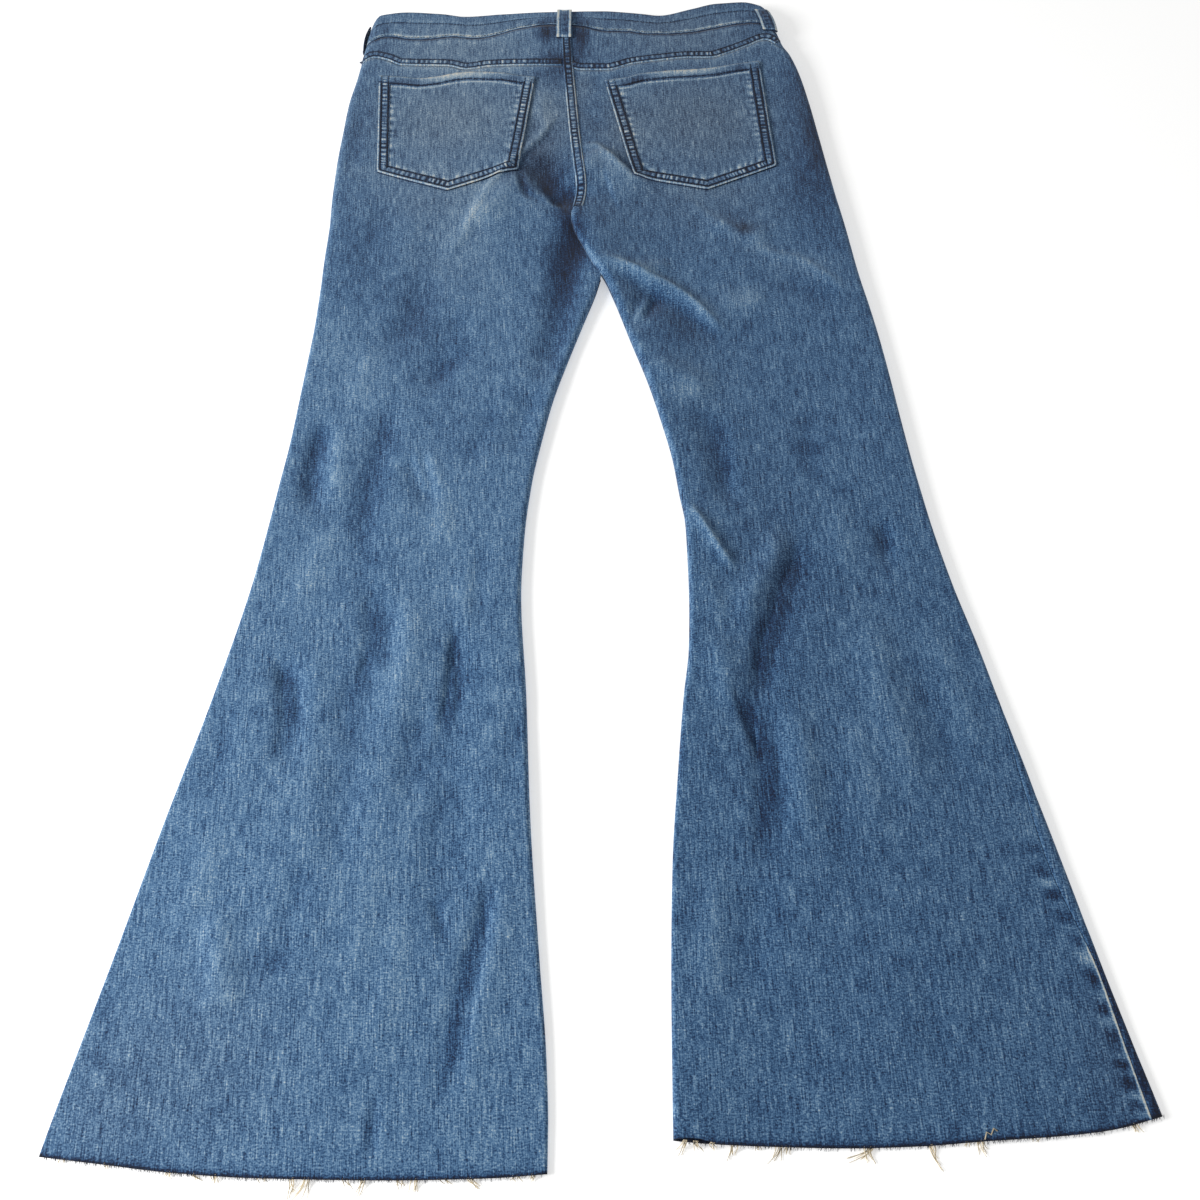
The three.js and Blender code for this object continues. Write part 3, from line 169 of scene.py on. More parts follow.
# The smaller creases, on the cloth's face alone, in the same columns
CREASES = [
    (0.9, 5, 9, [(-98, 782), (-116, 747), (-139, 706)]),
    (-0.7, 9, 8, [(-98, 626), (-122, 599), (-141, 570)]),
    (-0.6, 12, 10, [(-166, 584), (-172, 531), (-182, 480), (-179, 415), (-169, 352)]),
    (0.6, 10, 10, [(-203, 442), (-215, 403), (-227, 360)]),
    (0.6, 8, 8, [(-128, 470), (-120, 448), (-118, 420)]),
    (0.5, 9, 9, [(-190, 620), (-195, 585), (-203, 548)]),
    (-0.5, 8, 10, [(-84, 560), (-95, 520), (-112, 488)]),
    (-1.1, 8, 7, [(-220, 545), (-226, 500), (-223, 446)]),
    (0.7, 9, 9, [(-206, 530), (-206, 495), (-204, 450)]),
    (-0.3, 10, 12, [(-118, 618), (-128, 596), (-142, 566)]),
    (-0.8, 10, 10, [(-172, 560), (-177, 490), (-184, 410)]),
    (-0.3, 12, 12, [(-152, 670), (-156, 648), (-166, 620)]),
    (1, 3, 4, [(-147, 512), (-141, 490), (-132, 468)]),
    (0.7, 5, 7, [(-136, 516), (-130, 488), (-120, 462)]),
    (-0.6, 7, 7, [(-88, 430), (-92, 392), (-88, 350)]),
    (0.5, 8, 8, [(-96, 420), (-99, 380), (-98, 340)]),
    (-0.5, 8, 9, [(-262, 300), (-262, 262), (-266, 220)]),
    (0.5, 10, 10, [(-258, 210), (-262, 170), (-272, 120)]),
    (-0.5, 10, 9, [(-196, 190), (-200, 150), (-206, 96)]),
    (0.4, 10, 10, [(-150, 196), (-154, 150), (-158, 92)]),
    (-0.45, 6, 9, [(-230, 118), (-216, 113), (-200, 116)]),
    (0.45, 8, 8, [(-128, 150), (-133, 108), (-142, 60)]),
    (-0.5, 9, 9, [(-55, 300), (-60, 262), (-66, 214)]),
    (-2, 5, 2.4, [(-72, 172), (-77, 145), (-84, 114), (-91, 82), (-93, 61), (-99, 36)]),
    (-1, 5, 3, [(-110, 162), (-105, 146), (-99, 128)]),
    (0.8, 2.4, 4, [(-254, 94), (-238, 96), (-221, 100)]),
    (-0.8, 3, 3, [(-136, 44), (-136, 20), (-135, 4)]),
    (-1.2, 8, 3, [(-107, 366), (-106, 310), (-111, 267)]),
    (-1.2, 8, 3, [(-236, 332), (-222, 301), (-218, 270)]),
    (-1.1, 8, 3, [(-172, 382), (-164, 349), (-170, 323), (-177, 289)]),
    (0.7, 4, 6, [(-8, 711), (16, 700), (38, 694), (60, 703)]),
    (1.1, 2.6, 4, [(-4, 713), (23, 701), (38, 690), (59, 680), (78, 663), (97, 641), (109, 627)]),
    (1.5, 2.4, 4, [(44, 675), (37, 652), (27, 629)]),
    (-1.2, 5, 5, [(52, 674), (46, 656), (37, 640)]),
    (0.8, 4, 6, [(130, 732), (153, 715), (176, 708), (201, 684), (212, 668)]),
    (0.5, 4, 7, [(72, 788), (102, 756), (124, 741)]),
    (-0.6, 9, 9, [(110, 772), (128, 744), (140, 738)]),
    (0.6, 10, 9, [(100, 668), (122, 664), (146, 668)]),
    (-0.5, 10, 12, [(150, 696), (176, 676), (206, 650)]),
    (0.6, 6, 8, [(50, 572), (68, 566), (90, 566)]),
    (1.5, 2.2, 3, [(66, 461), (79, 440), (92, 416), (103, 400)]),
    (-1.5, 7, 3, [(152, 430), (148, 415), (137, 387), (129, 364), (121, 340), (117, 316), (118, 296)]),
    (-0.7, 6, 8, [(95, 552), (100, 511), (98, 459)]),
    (-0.7, 6, 6, [(216, 446), (217, 428), (216, 410)]),
    (0.5, 9, 9, [(188, 470), (184, 430), (186, 392)]),
    (-0.5, 9, 10, [(170, 560), (166, 520), (170, 470)]),
    (-0.8, 6, 6, [(122, 372), (117, 340), (114, 306)]),
    (0.6, 6, 8, [(74, 404), (84, 380), (90, 350)]),
    (-1.6, 9, 3, [(90, 314), (97, 301), (105, 275), (114, 251), (113, 228), (109, 206), (107, 187)]),
    (0.5, 8, 10, [(240, 366), (252, 310), (268, 250)]),
    (-0.5, 10, 8, [(226, 330), (236, 280), (250, 226)]),
    (0.5, 9, 9, [(176, 300), (182, 246), (190, 190)]),
    (-0.45, 8, 10, [(158, 262), (160, 214), (166, 160)]),
    (0.5, 9, 8, [(78, 190), (72, 140), (66, 90)]),
    (-0.4, 9, 9, [(200, 130), (206, 90), (210, 50)]),
    (-0.5, 10, 10, [(-190, 780), (-200, 740), (-206, 690)]),
    (0.5, 12, 10, [(-164, 778), (-170, 730), (-180, 680)]),
    (-0.6, 7, 9, [(-56, 900), (-62, 870), (-60, 846)]),
    (0.7, 7, 7, [(-50, 922), (-56, 894), (-46, 862)]),
    (-0.5, 8, 6, [(-14, 902), (-6, 880), (6, 858)]),
    (1.3, 3, 5, [(-22, 832), (-14, 844), (-3, 847), (5, 838), (13, 827), (29, 810), (40, 798)]),
    (-1.6, 4, 5, [(14, 836), (22, 824), (30, 813), (38, 804)]),
    (-1.3, 12, 2.5, [(-34, 892), (-46, 868), (-55, 853), (-78, 823), (-98, 793), (-115, 757)]),
    (0.9, 2.5, 5, [(-38, 892), (-50, 868), (-60, 853), (-82, 823), (-102, 793), (-119, 757)]),
    (1, 2.5, 5, [(-84, 810), (-100, 788), (-114, 762), (-123, 742)]),
    (-1.3, 4, 3, [(-76, 824), (-72, 806), (-68, 790), (-54, 777)]),
    (1, 3, 4, [(-53, 793), (-45, 776), (-28, 768)]),
    (-0.6, 8, 8, [(196, 900), (200, 850), (206, 800)]),
    (0.6, 8, 8, [(184, 920), (190, 860), (196, 800)]),
    (-0.5, 7, 7, [(-222, 900), (-226, 850), (-228, 800)]),
]
# Patches of paler or darker, greyer or bluer cloth: x, up, half width, half height, paler, greyer
# Many dark ones are painted shade: in the seat's hollows, the crotch, along the inner thighs and along the
# hips' rolled sides.
PATCHES_AND_SHADE = [
    (-134, 720, 46, 60, 0.05, 0.25), (-190, 590, 26, 60, 0.05, 0), (-228, 612, 14, 30, 0.05, 0),
    (-120, 452, 18, 40, 0.04, 0), (-156, 641, 16, 26, -0.05, 0.1), (-223, 730, 18, 60, -0.05, 0),
    (-33, 700, 18, 60, -0.1, 0), (-68, 717, 22, 40, -0.04, 0), (-118, 531, 30, 44, -0.03, 0),
    (128, 744, 10, 7, -0.17, 0.9), (140, 723, 18, 10, 0.06, 0.2), (178, 702, 30, 14, 0.05, 0.2),
    (119, 665, 26, 12, 0.06, 0.2), (70, 566, 22, 12, 0.06, 0.1), (61, 628, 22, 20, -0.06, 0),
    (186, 790, 22, 60, -0.06, 0), (-53, 816, 15, 20, -0.08, 0.2), (-38, 771, 10, 18, -0.08, 0),
    (-48, 880, 26, 50, 0, 0.6), (20, 860, 22, 44, 0.03, 0.5), (-150, 780, 60, 30, 0.02, 0.3),
    (100, 770, 60, 34, 0, 0.3), (-140, 880, 80, 70, 0.03, 0.9), (90, 880, 80, 70, 0, 0.9),
    (-140, 985, 90, 40, 0.03, 0.6), (80, 1000, 90, 40, 0.02, 0.6), (-226, 880, 20, 70, -0.07, 0),
    (195, 900, 18, 70, -0.05, 0.1), (-36, 985, 18, 36, -0.1, 0), (-20, 990, 6, 26, -0.13, 0),
    (-114, 776, 5, 22, 0.05, 0.1), (-56, 1004, 9, 14, -0.12, 0), (-36, 944, 18, 22, -0.08, 0),
    (66, 640, 16, 30, -0.03, 0), (130, 400, 26, 60, -0.05, 0.1), (-250, 60, 60, 60, -0.02, 0.25),
    (-300, 30, 30, 50, -0.03, 0.2), (-170, 200, 60, 60, 0.02, 0), (80, 90, 26, 60, 0.03, 0),
    (-12, 740, 7, 40, 0.03, 0), (315, 60, 16, 50, -0.05, 0.2), (-215, 985, 16, 30, -0.1, 0),
    (150, 1010, 14, 20, -0.08, 0), (30, 640, 9, 22, 0.1, 0.1), (-195, 812, 60, 10, 0.06, 0.2),
    (-110, 800, 40, 10, 0.07, 0.2), (90, 790, 50, 9, 0.04, 0.2), (-24, 905, 9, 40, 0.06, 0.3),
    (-49, 796, 5, 7, -0.24, 0.1), (-68, 800, 5, 9, -0.2, 0.1), (-56, 830, 18, 18, -0.1, 0.6),
    (-10, 818, 14, 18, -0.05, 0.2), (20, 780, 50, 30, -0.03, 0.1), (-42, 812, 12, 22, -0.1, 0),
    (-44, 773, 16, 3, 0.07, 0.2), (-84, 804, 8, 8, -0.1, 0.2), (-34, 778, 8, 18, -0.12, 0),
    (-28, 715, 14, 44, -0.15, 0), (-20, 745, 9, 22, -0.14, 0), (-52, 1004, 10, 16, -0.26, 0),
    (-18, 1000, 7, 20, -0.2, 0), (-42, 962, 18, 12, -0.2, 0), (-58, 944, 12, 8, -0.16, 0),
    (200, 870, 20, 110, -0.15, 0), (-170, 700, 50, 110, -0.08, 0), (-14, 930, 8, 20, 0.05, 0.4),
]
LEG_TONE_AND_SHADE = {"left": 0.01, "right": -0.05}  # how pale each leg is: its dye, and on the right leg also painted shade for its dimmer light
GRAIN = {"left": 0.07, "right": 0.03}  # how the cloth's grain leans with each leg
FOLD_RISE = 1.5  # how much higher than its stated rise each fold is made
FOLD_SHADE, CREASE_SHADE = 0.036, 0.11  # how pale a millimetre of rise is: painted highlight on ridges and painted shade in troughs, partly worn cloth
SHADE_LIMITS = (-0.16, 0.15)

# How many faces each panel has across its flat part, and its rows: from, to, spacing
BACK_FLATS, FRONT_FLATS, YOKE_FLATS, BAND_FLATS = 132, 24, 84, 60
BACK_ROWS = [(0, 3, 1), (3, 9, 2), (9, 690, 3.4), (690, 830, 2.3), (830, 980, 2.6)]
FRONT_ROWS = [(0, 8, 2), (8, 860, 9), (860, 980, 4)]


def mix(a, b, t):
    return a + (b - a) * t


def ease(t):
    s = np.clip(t, 0, 1)
    return s * s * (3 - 2 * s)


def bell(d, width):
    return np.exp(-((d / width) ** 2))


def arrays(x, up):
    """The two as arrays of one shape."""
    return np.broadcast_arrays(np.asarray(x, float), np.asarray(up, float))


def line(rows, column=1):
    """A smooth curve through the rows that never overshoots them, as a function of their first column."""
    key = np.array([r[0] for r in rows], float)
    value = np.array([r[column] for r in rows], float)
    step = np.diff(key)
    rise = np.diff(value) / step
    slope = np.concatenate([rise[:1], rise[1:], rise[-1:]])
    both = rise[:-1] * rise[1:]
    total = rise[:-1] + rise[1:]
    slope[1:-1] = np.where(both <= 0, 0, 2 * both / np.where(total == 0, 1, total))

    def at(place):
        p = np.clip(place, key[0], key[-1])
        i = np.clip(np.searchsorted(key, p, side="right") - 1, 0, len(key) - 2)
        t = (p - key[i]) / step[i]
        bend = t * (1 - t) ** 2 * slope[i] + t * t * (t - 1) * slope[i + 1]
        return value[i] + t * t * (3 - 2 * t) * (value[i + 1] - value[i]) + step[i] * bend

    return at


def spline(path, steps=6):
    """Points along a smooth curve through a path."""
    p = np.array(path, float)
    p = np.vstack([2 * p[0] - p[1], p, 2 * p[-1] - p[-2]])
    out = []
    for i in range(1, len(p) - 2):
        for t in np.arange(steps) / steps:
            a, b, c, d = p[i - 1:i + 3]
            out.append(0.5 * (2 * b + (c - a) * t + (2 * a - 5 * b + 4 * c - d) * t * t
                              + (3 * b - a - 3 * c + d) * t ** 3))
    out.append(p[-2])
    return np.array(out)


def rounded(corners, radii):
    """A path of straight lines whose inner corners are rounded."""
    out = [corners[0]]
    for before, corner, after, radius in zip(corners, corners[1:], corners[2:], radii):
        back = corner + (before - corner) / np.linalg.norm(before - corner) * radius
        on = corner + (after - corner) / np.linalg.norm(after - corner) * radius
        for t in np.linspace(0, 1, 5):
            out.append((1 - t) ** 2 * back + 2 * t * (1 - t) * corner + t * t * on)
    return np.array(out + [corners[-1]])


LAPPED = sorted([(up, inner) for up, _, inner in RIGHT_EDGES if not LAP_FROM <= up <= LAP_TO] + LAP)
seat_at = line(SEAT_LINE)
SIDES = {
    "left": {"outer": line(LEFT_EDGES, 1), "inner": line(LEFT_EDGES, 2), "under": line(LEFT_EDGES, 2),
             "stack": line(STACK, 3), "free": line(LEFT_FREE), "inwards": 1.0,
             "seam": line(SIDE_SEAM["left"])},
    "right": {"outer": line(RIGHT_EDGES, 1), "inner": line(LAPPED), "under": line(RIGHT_EDGES, 2),
              "stack": line(STACK, 4), "free": line(RIGHT_FREE), "inwards": -1.0,
              "seam": line(SIDE_SEAM["right"])},
}
stack_outer, stack_middle = line(STACK, 1), line(STACK, 2)
yoke_at, band_at, top_at = line(YOKE_LINE), line(BAND_LINE), line(BACK_TOP)
front_seam_at, front_top_at = line(FRONT_SEAM), line(FRONT_TOP)
hem_at = {side: line(rows) for side, rows in HEM_LINE.items()}


def prepared(folds):
    return [(rise, left, right, spline(path)) for rise, left, right, path in folds]


FOLD_LINES, CREASE_LINES = prepared(FOLDS), prepared(CREASES)


def folded(x, up, folds):
    """How far a set of folds lifts the cloth."""
    x, up = arrays(x, up)
    total = np.zeros(x.shape)
    if x.size == 0:
        return total
    for rise, left, right, points in folds:
        reach = 2.4 * max(left, right)
        low, high = points.min(axis=0) - reach, points.max(axis=0) + reach
        near = (x > low[0]) & (x < high[0]) & (up > low[1]) & (up < high[1])
        if not near.any():
            continue
        px, py = x[near], up[near]
        best = np.full(px.shape, np.inf)
        side = np.ones(px.shape)
        share = np.zeros(px.shape)
        count = len(points) - 1
        for i in range(count):
            (ax, ay), (bx, by) = points[i], points[i + 1]
            dx, dy = bx - ax, by - ay
            t = np.clip(((px - ax) * dx + (py - ay) * dy) / (dx * dx + dy * dy), 0, 1)
            away = np.hypot(px - ax - t * dx, py - ay - t * dy)
            closer = away < best
            best = np.where(closer, away, best)
            side = np.where(closer, np.where(dx * (py - ay) - dy * (px - ax) > 0, left, right), side)
            share = np.where(closer, (i + t) / count, share)
        taper = ease(share / 0.3) * ease((1 - share) / 0.3)
        total[near] += rise * taper * bell(best, side)
    return total


def uneven(x, up):
    wave = 0.35 * np.sin(x / 31 + up / 83) + 0.3 * np.sin(up / 47 - x / 59 + 1.3)
    return wave + 0.2 * np.sin(x / 17 - up / 29)


def front_lift(x, up):
    return FRONT_LIFT * ease((up - front_seam_at(x) + LIFT_FROM) / LIFT_LENGTH)


def upper(side, x, up):
    """The upper cloth's height before its edges roll down."""
    s = SIDES[side]
    middle = stack_middle(up)
    height = middle + (stack_outer(up) - middle) * bell(x - s["outer"](up), EDGE_REACH)
    height = height + (s["stack"](up) - middle) * bell(x - s["inner"](up), EDGE_REACH)
    slack = mix(1, 0.3, ease((up - 860) / 90))
    height = height + FOLD_RISE * folded(x, up, FOLD_LINES) + uneven(x, up) * slack
    least = 2 * WALL + 0.5 + front_lift(x, up)
    over = (height - least) / 0.5
    return least + 0.5 * np.logaddexp(0, over) + FOLD_RISE * folded(x, up, CREASE_LINES) * ease(over)


def seam_height(up):
    return mix(stack_outer(up) * 0.5, 8.6, ease((up - 860) / 90))


def rolled(side, x, up, which):
    """How an edge rolls down: its lowest height, how free it is, the turn at a place, and its crest's x."""
    s = SIDES[side]
    crest = stack_outer(up) if which == "outer" else s["stack"](up)
    inwards = s["inwards"] if which == "outer" else -s["inwards"]
    edge = s[which](up)
    run = np.maximum(2, 0.5 * crest)
    inset = (x - edge) * inwards
    if which == "outer":
        low, free = seam_height(up), 1.0
    else:
        low, free = mix(crest * 0.5, LANDING, ease((up - 640) / 60)), s["free"](up)
    turn = np.clip(1 - inset / run, 0, 1)
    return low, free, turn, edge + inwards * run


def top_height(side, x, up):
    """The height of the upper cloth's face."""
    x, up = arrays(x, up)
    flat = upper(side, x, up)
    for which in ("outer", "inner"):
        low, free, turn, crest_x = rolled(side, x, up, which)
        near = turn > 0
        if not near.any():
            continue
        low, free = (np.broadcast_to(value, x.shape)[near] for value in (low, free))
        crest = upper(side, crest_x[near], up[near])
        z = mix(low, crest, np.sqrt(np.maximum(0, 1 - turn[near] ** 2)))
        flat[near] = mix(flat[near], z, free)
    return flat


def bottom_height(side, x, up):
    """The height of the lower cloth's face, on the floor side."""
    x, up = arrays(x, up)
    lift = front_lift(x, up)
    z = lift
    for which in ("outer", "under"):
        low, free, turn, _ = rolled(side, x, up, which)
        if which == "under":
            low = SIDES[side]["stack"](up) * 0.5
            free = SIDES["left"]["free"](up)
        rolled_z = mix(low, lift, np.sqrt(np.maximum(0, 1 - turn * turn)))
        z = np.where(turn > 0, mix(z, rolled_z, free), z)
    return z


def back_height(x, up):
    """The height of the upper cloth on whichever half lies there."""
    x, up = arrays(x, up)
    on_left = x < SIDES["left"]["inner"](up)
    return np.where(on_left, top_height("left", x, up), top_height("right", x, up))


def around(side, up, s, which="outer"):
    """The x of a place s millimetres round from an edge."""
    half = SIDES[side]
    crest = stack_outer(up) if which == "outer" else half["stack"](up)
    low = seam_height(up) if which == "outer" else crest * 0.5
    run = np.maximum(2, 0.5 * crest)
    arc = math.pi / 2 * np.sqrt((run * run + (crest - low) ** 2) / 2)
    d = np.abs(s)
    angle = np.minimum(1, d / arc) * math.pi / 2
    inwards = half["inwards"] if which == "outer" else -half["inwards"]
    return half[which](up) + inwards * (run * (1 - np.cos(angle)) + np.maximum(0, d - arc))


def rows_of(stretches):
    rows = []
    for low, high, step in stretches:
        rows += list(np.linspace(low, high, max(1, round((high - low) / step)), endpoint=False))
    return np.array(rows + [stretches[-1][1]])


def panel(side, layer, rows, flats, place):
    """One layer of one half between two lines, in rows from the lower to the upper line: arrays of x and up,
    and of whether a place lies round the side seam, on the other layer."""
    edges = 7
    up = np.repeat(rows[:, None], 2 * edges + flats + 1, axis=1)
    nominal = up.copy()
    seam_gap = GAP / 2
    inner = "inner" if layer == "top" else "under"
    for _ in range(10):
        seam = SIDES[side]["seam"](up)
        zone = np.maximum(0.85 * stack_outer(up), seam if layer == "top" else 0) + 2
        inner_zone = 0.85 * SIDES[side]["stack"](up) + 2
        low_x = around(side, up, zone)
        high_x = around(side, up, inner_zone, inner)
        flat = slice(edges, edges + flats + 1)
        x = np.empty(up.shape)
        x[:, flat] = mix(low_x[:, flat], high_x[:, flat], np.arange(flats + 1) / flats)
        t = np.arange(edges) / edges
        start = (seam + seam_gap)[:, :edges] if layer == "top" else -(seam - seam_gap)[:, :edges]
        s = mix(start, zone[:, :edges], t)
        x[:, :edges] = around(side, up[:, :edges], s)
        t = np.arange(edges)[::-1] / edges
        s = mix(seam_gap, inner_zone[:, -edges:], t)
        x[:, -edges:] = around(side, up[:, -edges:], s, inner)
        up = place(nominal, x)
    over = np.zeros(up.shape, bool)
    if layer == "bottom":
        over[:, :edges] = mix(start, zone[:, :edges], np.arange(edges) / edges) < 0
    return x, up, over


def leg(side, top_line, notch=0):
    """Places the rows of a leg panel between its hem, which a small notch cuts, and the line at its top."""

    def place(row, x):
        low = 1 - ease(row / 150)
        high = 1 - ease((980 - row) / 130)
        hem = hem_at[side](x) + notch * bell(x - NOTCH_AT, 11)
        return row + hem * low + (top_line(x) - GAP / 2 - 980) * high

    return place


def between(low, high):
    return lambda row, x: mix(low(x) + GAP, high(x) - GAP / 2, row)


# Looks


def linear(*rgb):
    return tuple(((c / 255 + 0.055) / 1.055) ** 2.4 if c > 10 else c / 255 / 12.92 for c in rgb) + (1.0,)


RAMPS = {
    "blue": [(0.0, (8, 17, 36)), (0.2, (18, 40, 74)), (0.36, (40, 75, 113)), (0.5, (71, 108, 146)),
             (0.64, (106, 140, 171)), (0.8, (150, 174, 192)), (1.0, (206, 208, 200))],
    "grey": [(0.0, (10, 17, 32)), (0.2, (28, 44, 69)), (0.36, (57, 79, 106)), (0.5, (87, 111, 137)),
             (0.64, (118, 140, 160)), (0.8, (158, 176, 188)), (1.0, (210, 208, 198))],
}


def fill(node, values):
    """Sets a node's inputs by their names."""
    for name, value in values.items():
        node.inputs[name].default_value = value


class Nodes:
    """A small help for wiring shader nodes."""

    def __init__(self, name):
        self.material = bpy.data.materials.new(name)
        self.material.use_nodes = True
        self.tree = self.material.node_tree
        self.shader = self.tree.nodes["Principled BSDF"]

    def new(self, kind, **values):
        node = self.tree.nodes.new(kind)
        for key, value in values.items():
            setattr(node, key, value)
        return node

    def link(self, a, b):
        self.tree.links.new(a, b)

    def math(self, operation, a, b=None, c=None):
        node = self.new("ShaderNodeMath", operation=operation)
        for i, value in enumerate((a, b, c)):
            if value is None:
                continue
            if isinstance(value, (int, float)):
                node.inputs[i].default_value = value
            else:
                self.link(value, node.inputs[i])
        return node.outputs[0]

    def attribute(self, name):
        return self.new("ShaderNodeAttribute", attribute_name=name)

    def noise(self, vector, size, detail=2.0, rough=0.5):
        """Noise over cloth coordinates in millimetres, with a size across and along."""
        scale = self.new("ShaderNodeVectorMath", operation="MULTIPLY")
        scale.inputs[1].default_value = (1 / size[0], 1 / size[1], 1)
        self.link(vector, scale.inputs[0])
        node = self.new("ShaderNodeTexNoise")
        fill(node, {"Scale": 1, "Detail": detail, "Roughness": rough})
        self.link(scale.outputs[0], node.inputs["Vector"])
        return node.outputs[0]

    def ramp(self, value, name):
        node = self.new("ShaderNodeValToRGB")
        stops = RAMPS[name]
        while len(node.color_ramp.elements) < len(stops):
            node.color_ramp.elements.new(0.5)
        for element, (place, rgb) in zip(node.color_ramp.elements, stops):
            element.position = place
            element.color = linear(*rgb)
        self.link(value, node.inputs[0])
        return node.outputs[0]


def denim(name, inside=False):
    """Washed denim: warp slubs along the cloth, weft flecks across it, and soft mottling."""
    n = Nodes(name)
    cloth = n.attribute("cloth").outputs["Vector"]
    terms = [
        (n.noise(cloth, (0.9, 14), 1), 0.62), (n.noise(cloth, (2.2, 60), 1), 0.20),
        (n.noise(cloth, (2.4, 1.0), 1), 0.60), (n.noise(cloth, (0.9, 1.1), 1), 0.66),
        (n.noise(cloth, (4, 5), 2), 0.20), (n.noise(cloth, (14, 22), 3), 0.20),
    ]
    value = 0.5
    for out, weight in terms:
        value = n.math("MULTIPLY_ADD", n.math("SUBTRACT", out, 0.5), weight, value)
    # Adds the mesh's worn and faded places, and its painted highlight and shade on folds and in hollows.
    value = n.math("ADD", value, n.attribute("wear_and_shade").outputs["Fac"])
    if inside:
        value = n.math("ADD", value, 0.16)
    blue, grey = n.ramp(value, "blue"), n.ramp(value, "grey")
    blend = n.new("ShaderNodeMix", data_type="RGBA")
    n.link(n.attribute("grey").outputs["Fac"], blend.inputs[0])
    n.link(blue, blend.inputs[6])
    n.link(grey, blend.inputs[7])
    n.link(blend.outputs[2], n.shader.inputs["Base Color"])
    fill(n.shader, {"Roughness": 0.88, "Specular IOR Level": 0.2, "Sheen Weight": 0.12,
                    "Sheen Roughness": 0.6})
    bump = n.new("ShaderNodeBump")
    fill(bump, {"Strength": 0.5, "Distance": 0.0004})
    n.link(value, bump.inputs["Height"])
    n.link(bump.outputs[0], n.shader.inputs["Normal"])
    return n.material


def plain(name, rgb, roughness=0.8, metallic=0.0, spread=0.0):
    n = Nodes(name)
    fill(n.shader, {"Base Color": linear(*rgb), "Roughness": roughness, "Metallic": metallic})
    if spread:
        shade = n.math("MULTIPLY_ADD", n.attribute("shade").outputs["Fac"], spread, 1 - spread / 2)
        tint = n.new("ShaderNodeMix", data_type="RGBA", blend_type="MULTIPLY")
        tint.inputs[0].default_value = 1.0
        tint.inputs[6].default_value = linear(*rgb)
        n.link(shade, tint.inputs[7])
        n.link(tint.outputs[2], n.shader.inputs["Base Color"])
    return n.material


DENIM = denim("denim")
INSIDE = denim("denim_inside", inside=True)
RAW = plain("raw_edge", (20, 34, 62), 0.95)
STITCH = plain("navy_thread", (13, 20, 38), 0.7, spread=0.8)
CREAM = plain("loose_thread", (214, 200, 172), 0.85, spread=0.7)
METAL = plain("button_metal", (140, 132, 120), 0.34, 1.0)


# Meshes


def to_frame(points):
    """Raw millimetres to the part's frame in metres."""
    return (np.asarray(points, float) - (MIDDLE_X, MIDDLE_UP, 0)) / 1000


def placed(name, data):
    """A new object in the scene."""
    made = bpy.data.objects.new(name, data)
    bpy.context.scene.collection.objects.link(made)
    return made


def make(name, points, faces, materials, fields):
    mesh = bpy.data.meshes.new(name)
    mesh.from_pydata(to_frame(points).tolist(), [], [tuple(f) for f in faces])
    for key, value in fields.items():
        value = np.asarray(value, float)
        kind = "FLOAT_VECTOR" if value.ndim == 2 else "FLOAT"
        data = mesh.attributes.new(key, kind, "POINT").data
        data.foreach_set("vector" if value.ndim == 2 else "value", value.ravel())
    for material in materials:
        mesh.materials.append(material)
    mesh.polygons.foreach_set("use_smooth", [True] * len(mesh.polygons))
    mesh.update()
    made = placed(name, mesh)
    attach(made, "root")
    return made


def grid_faces(rows, count, flip=False):
    a = (np.arange(rows - 1)[:, None] * count + np.arange(count - 1)[None, :]).ravel()
    order = (a, a + count, a + count + 1, a + 1) if flip else (a, a + 1, a + count + 1, a + count)
    return np.stack(order, axis=1).tolist()


def patches_and_shade(x, up):
    """The pale, dark and grey spots of the cloth, many dark ones painted shade in hollows: how much paler,
    and how grey.
    """
    pale, grey = np.zeros(x.shape), np.zeros(x.shape)
    for px, py, wide, tall, paler, greyer in PATCHES_AND_SHADE:
        amount = np.exp(-((x - px) / wide) ** 2 - ((up - py) / tall) ** 2)
        pale += paler * amount
        grey += greyer * amount
    return pale, np.clip(grey, 0, 1)


def cloth_fields(x, up, wear_and_shade=0.0, side=None):
    """What the denim's material reads at each point: how worn, with painted highlight and shade, how grey,
    and its place on the cloth.
    """
    pale, grey = patches_and_shade(x, up)
    on_left = x < SIDES["left"]["inner"](up)
    # The right leg is darker partly by its dye and partly by painted shade for its dimmer light.
    tone_and_shade = LEG_TONE_AND_SHADE[side] if side else np.where(on_left, LEG_TONE_AND_SHADE["left"], LEG_TONE_AND_SHADE["right"])
    # Painted highlight on the ridges of folds and creases and painted shade in their troughs, partly worn
    # cloth.
    relief = folded(x, up, FOLD_LINES) * FOLD_SHADE + folded(x, up, CREASE_LINES) * CREASE_SHADE
    total = pale + tone_and_shade + np.clip(relief, *SHADE_LIMITS) + wear_and_shade
    shear = GRAIN[side] if side else 0.0
    cloth = np.stack([x + shear * up, up, np.zeros(x.shape)], axis=-1).reshape(-1, 3)
    return {"wear_and_shade": total.ravel(), "grey": grey.ravel(), "cloth": cloth}


def cloth_wall(name, x, up, z, fields, depth, node, flip=False):
    """A wall of cloth from a grid of its outer face, given its thickness on the inside."""
    points = np.stack([x, up, z], axis=-1).reshape(-1, 3)
    made = make(name, points, grid_faces(*x.shape, flip=flip), [DENIM, INSIDE, RAW], fields)
    solid = made.modifiers.new("thickness", "SOLIDIFY")
    solid.thickness = depth / 1000
    solid.offset = -1
    solid.material_offset = 1
    solid.material_offset_rim = 2
    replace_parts(made, node)
    return made


def shell(name, x, up, z, fields, depth, flip=False):
    """A sheet of cloth that stands for the node of its name."""
    made = cloth_wall("denim_" + name, x, up, z, fields, depth, name, flip)


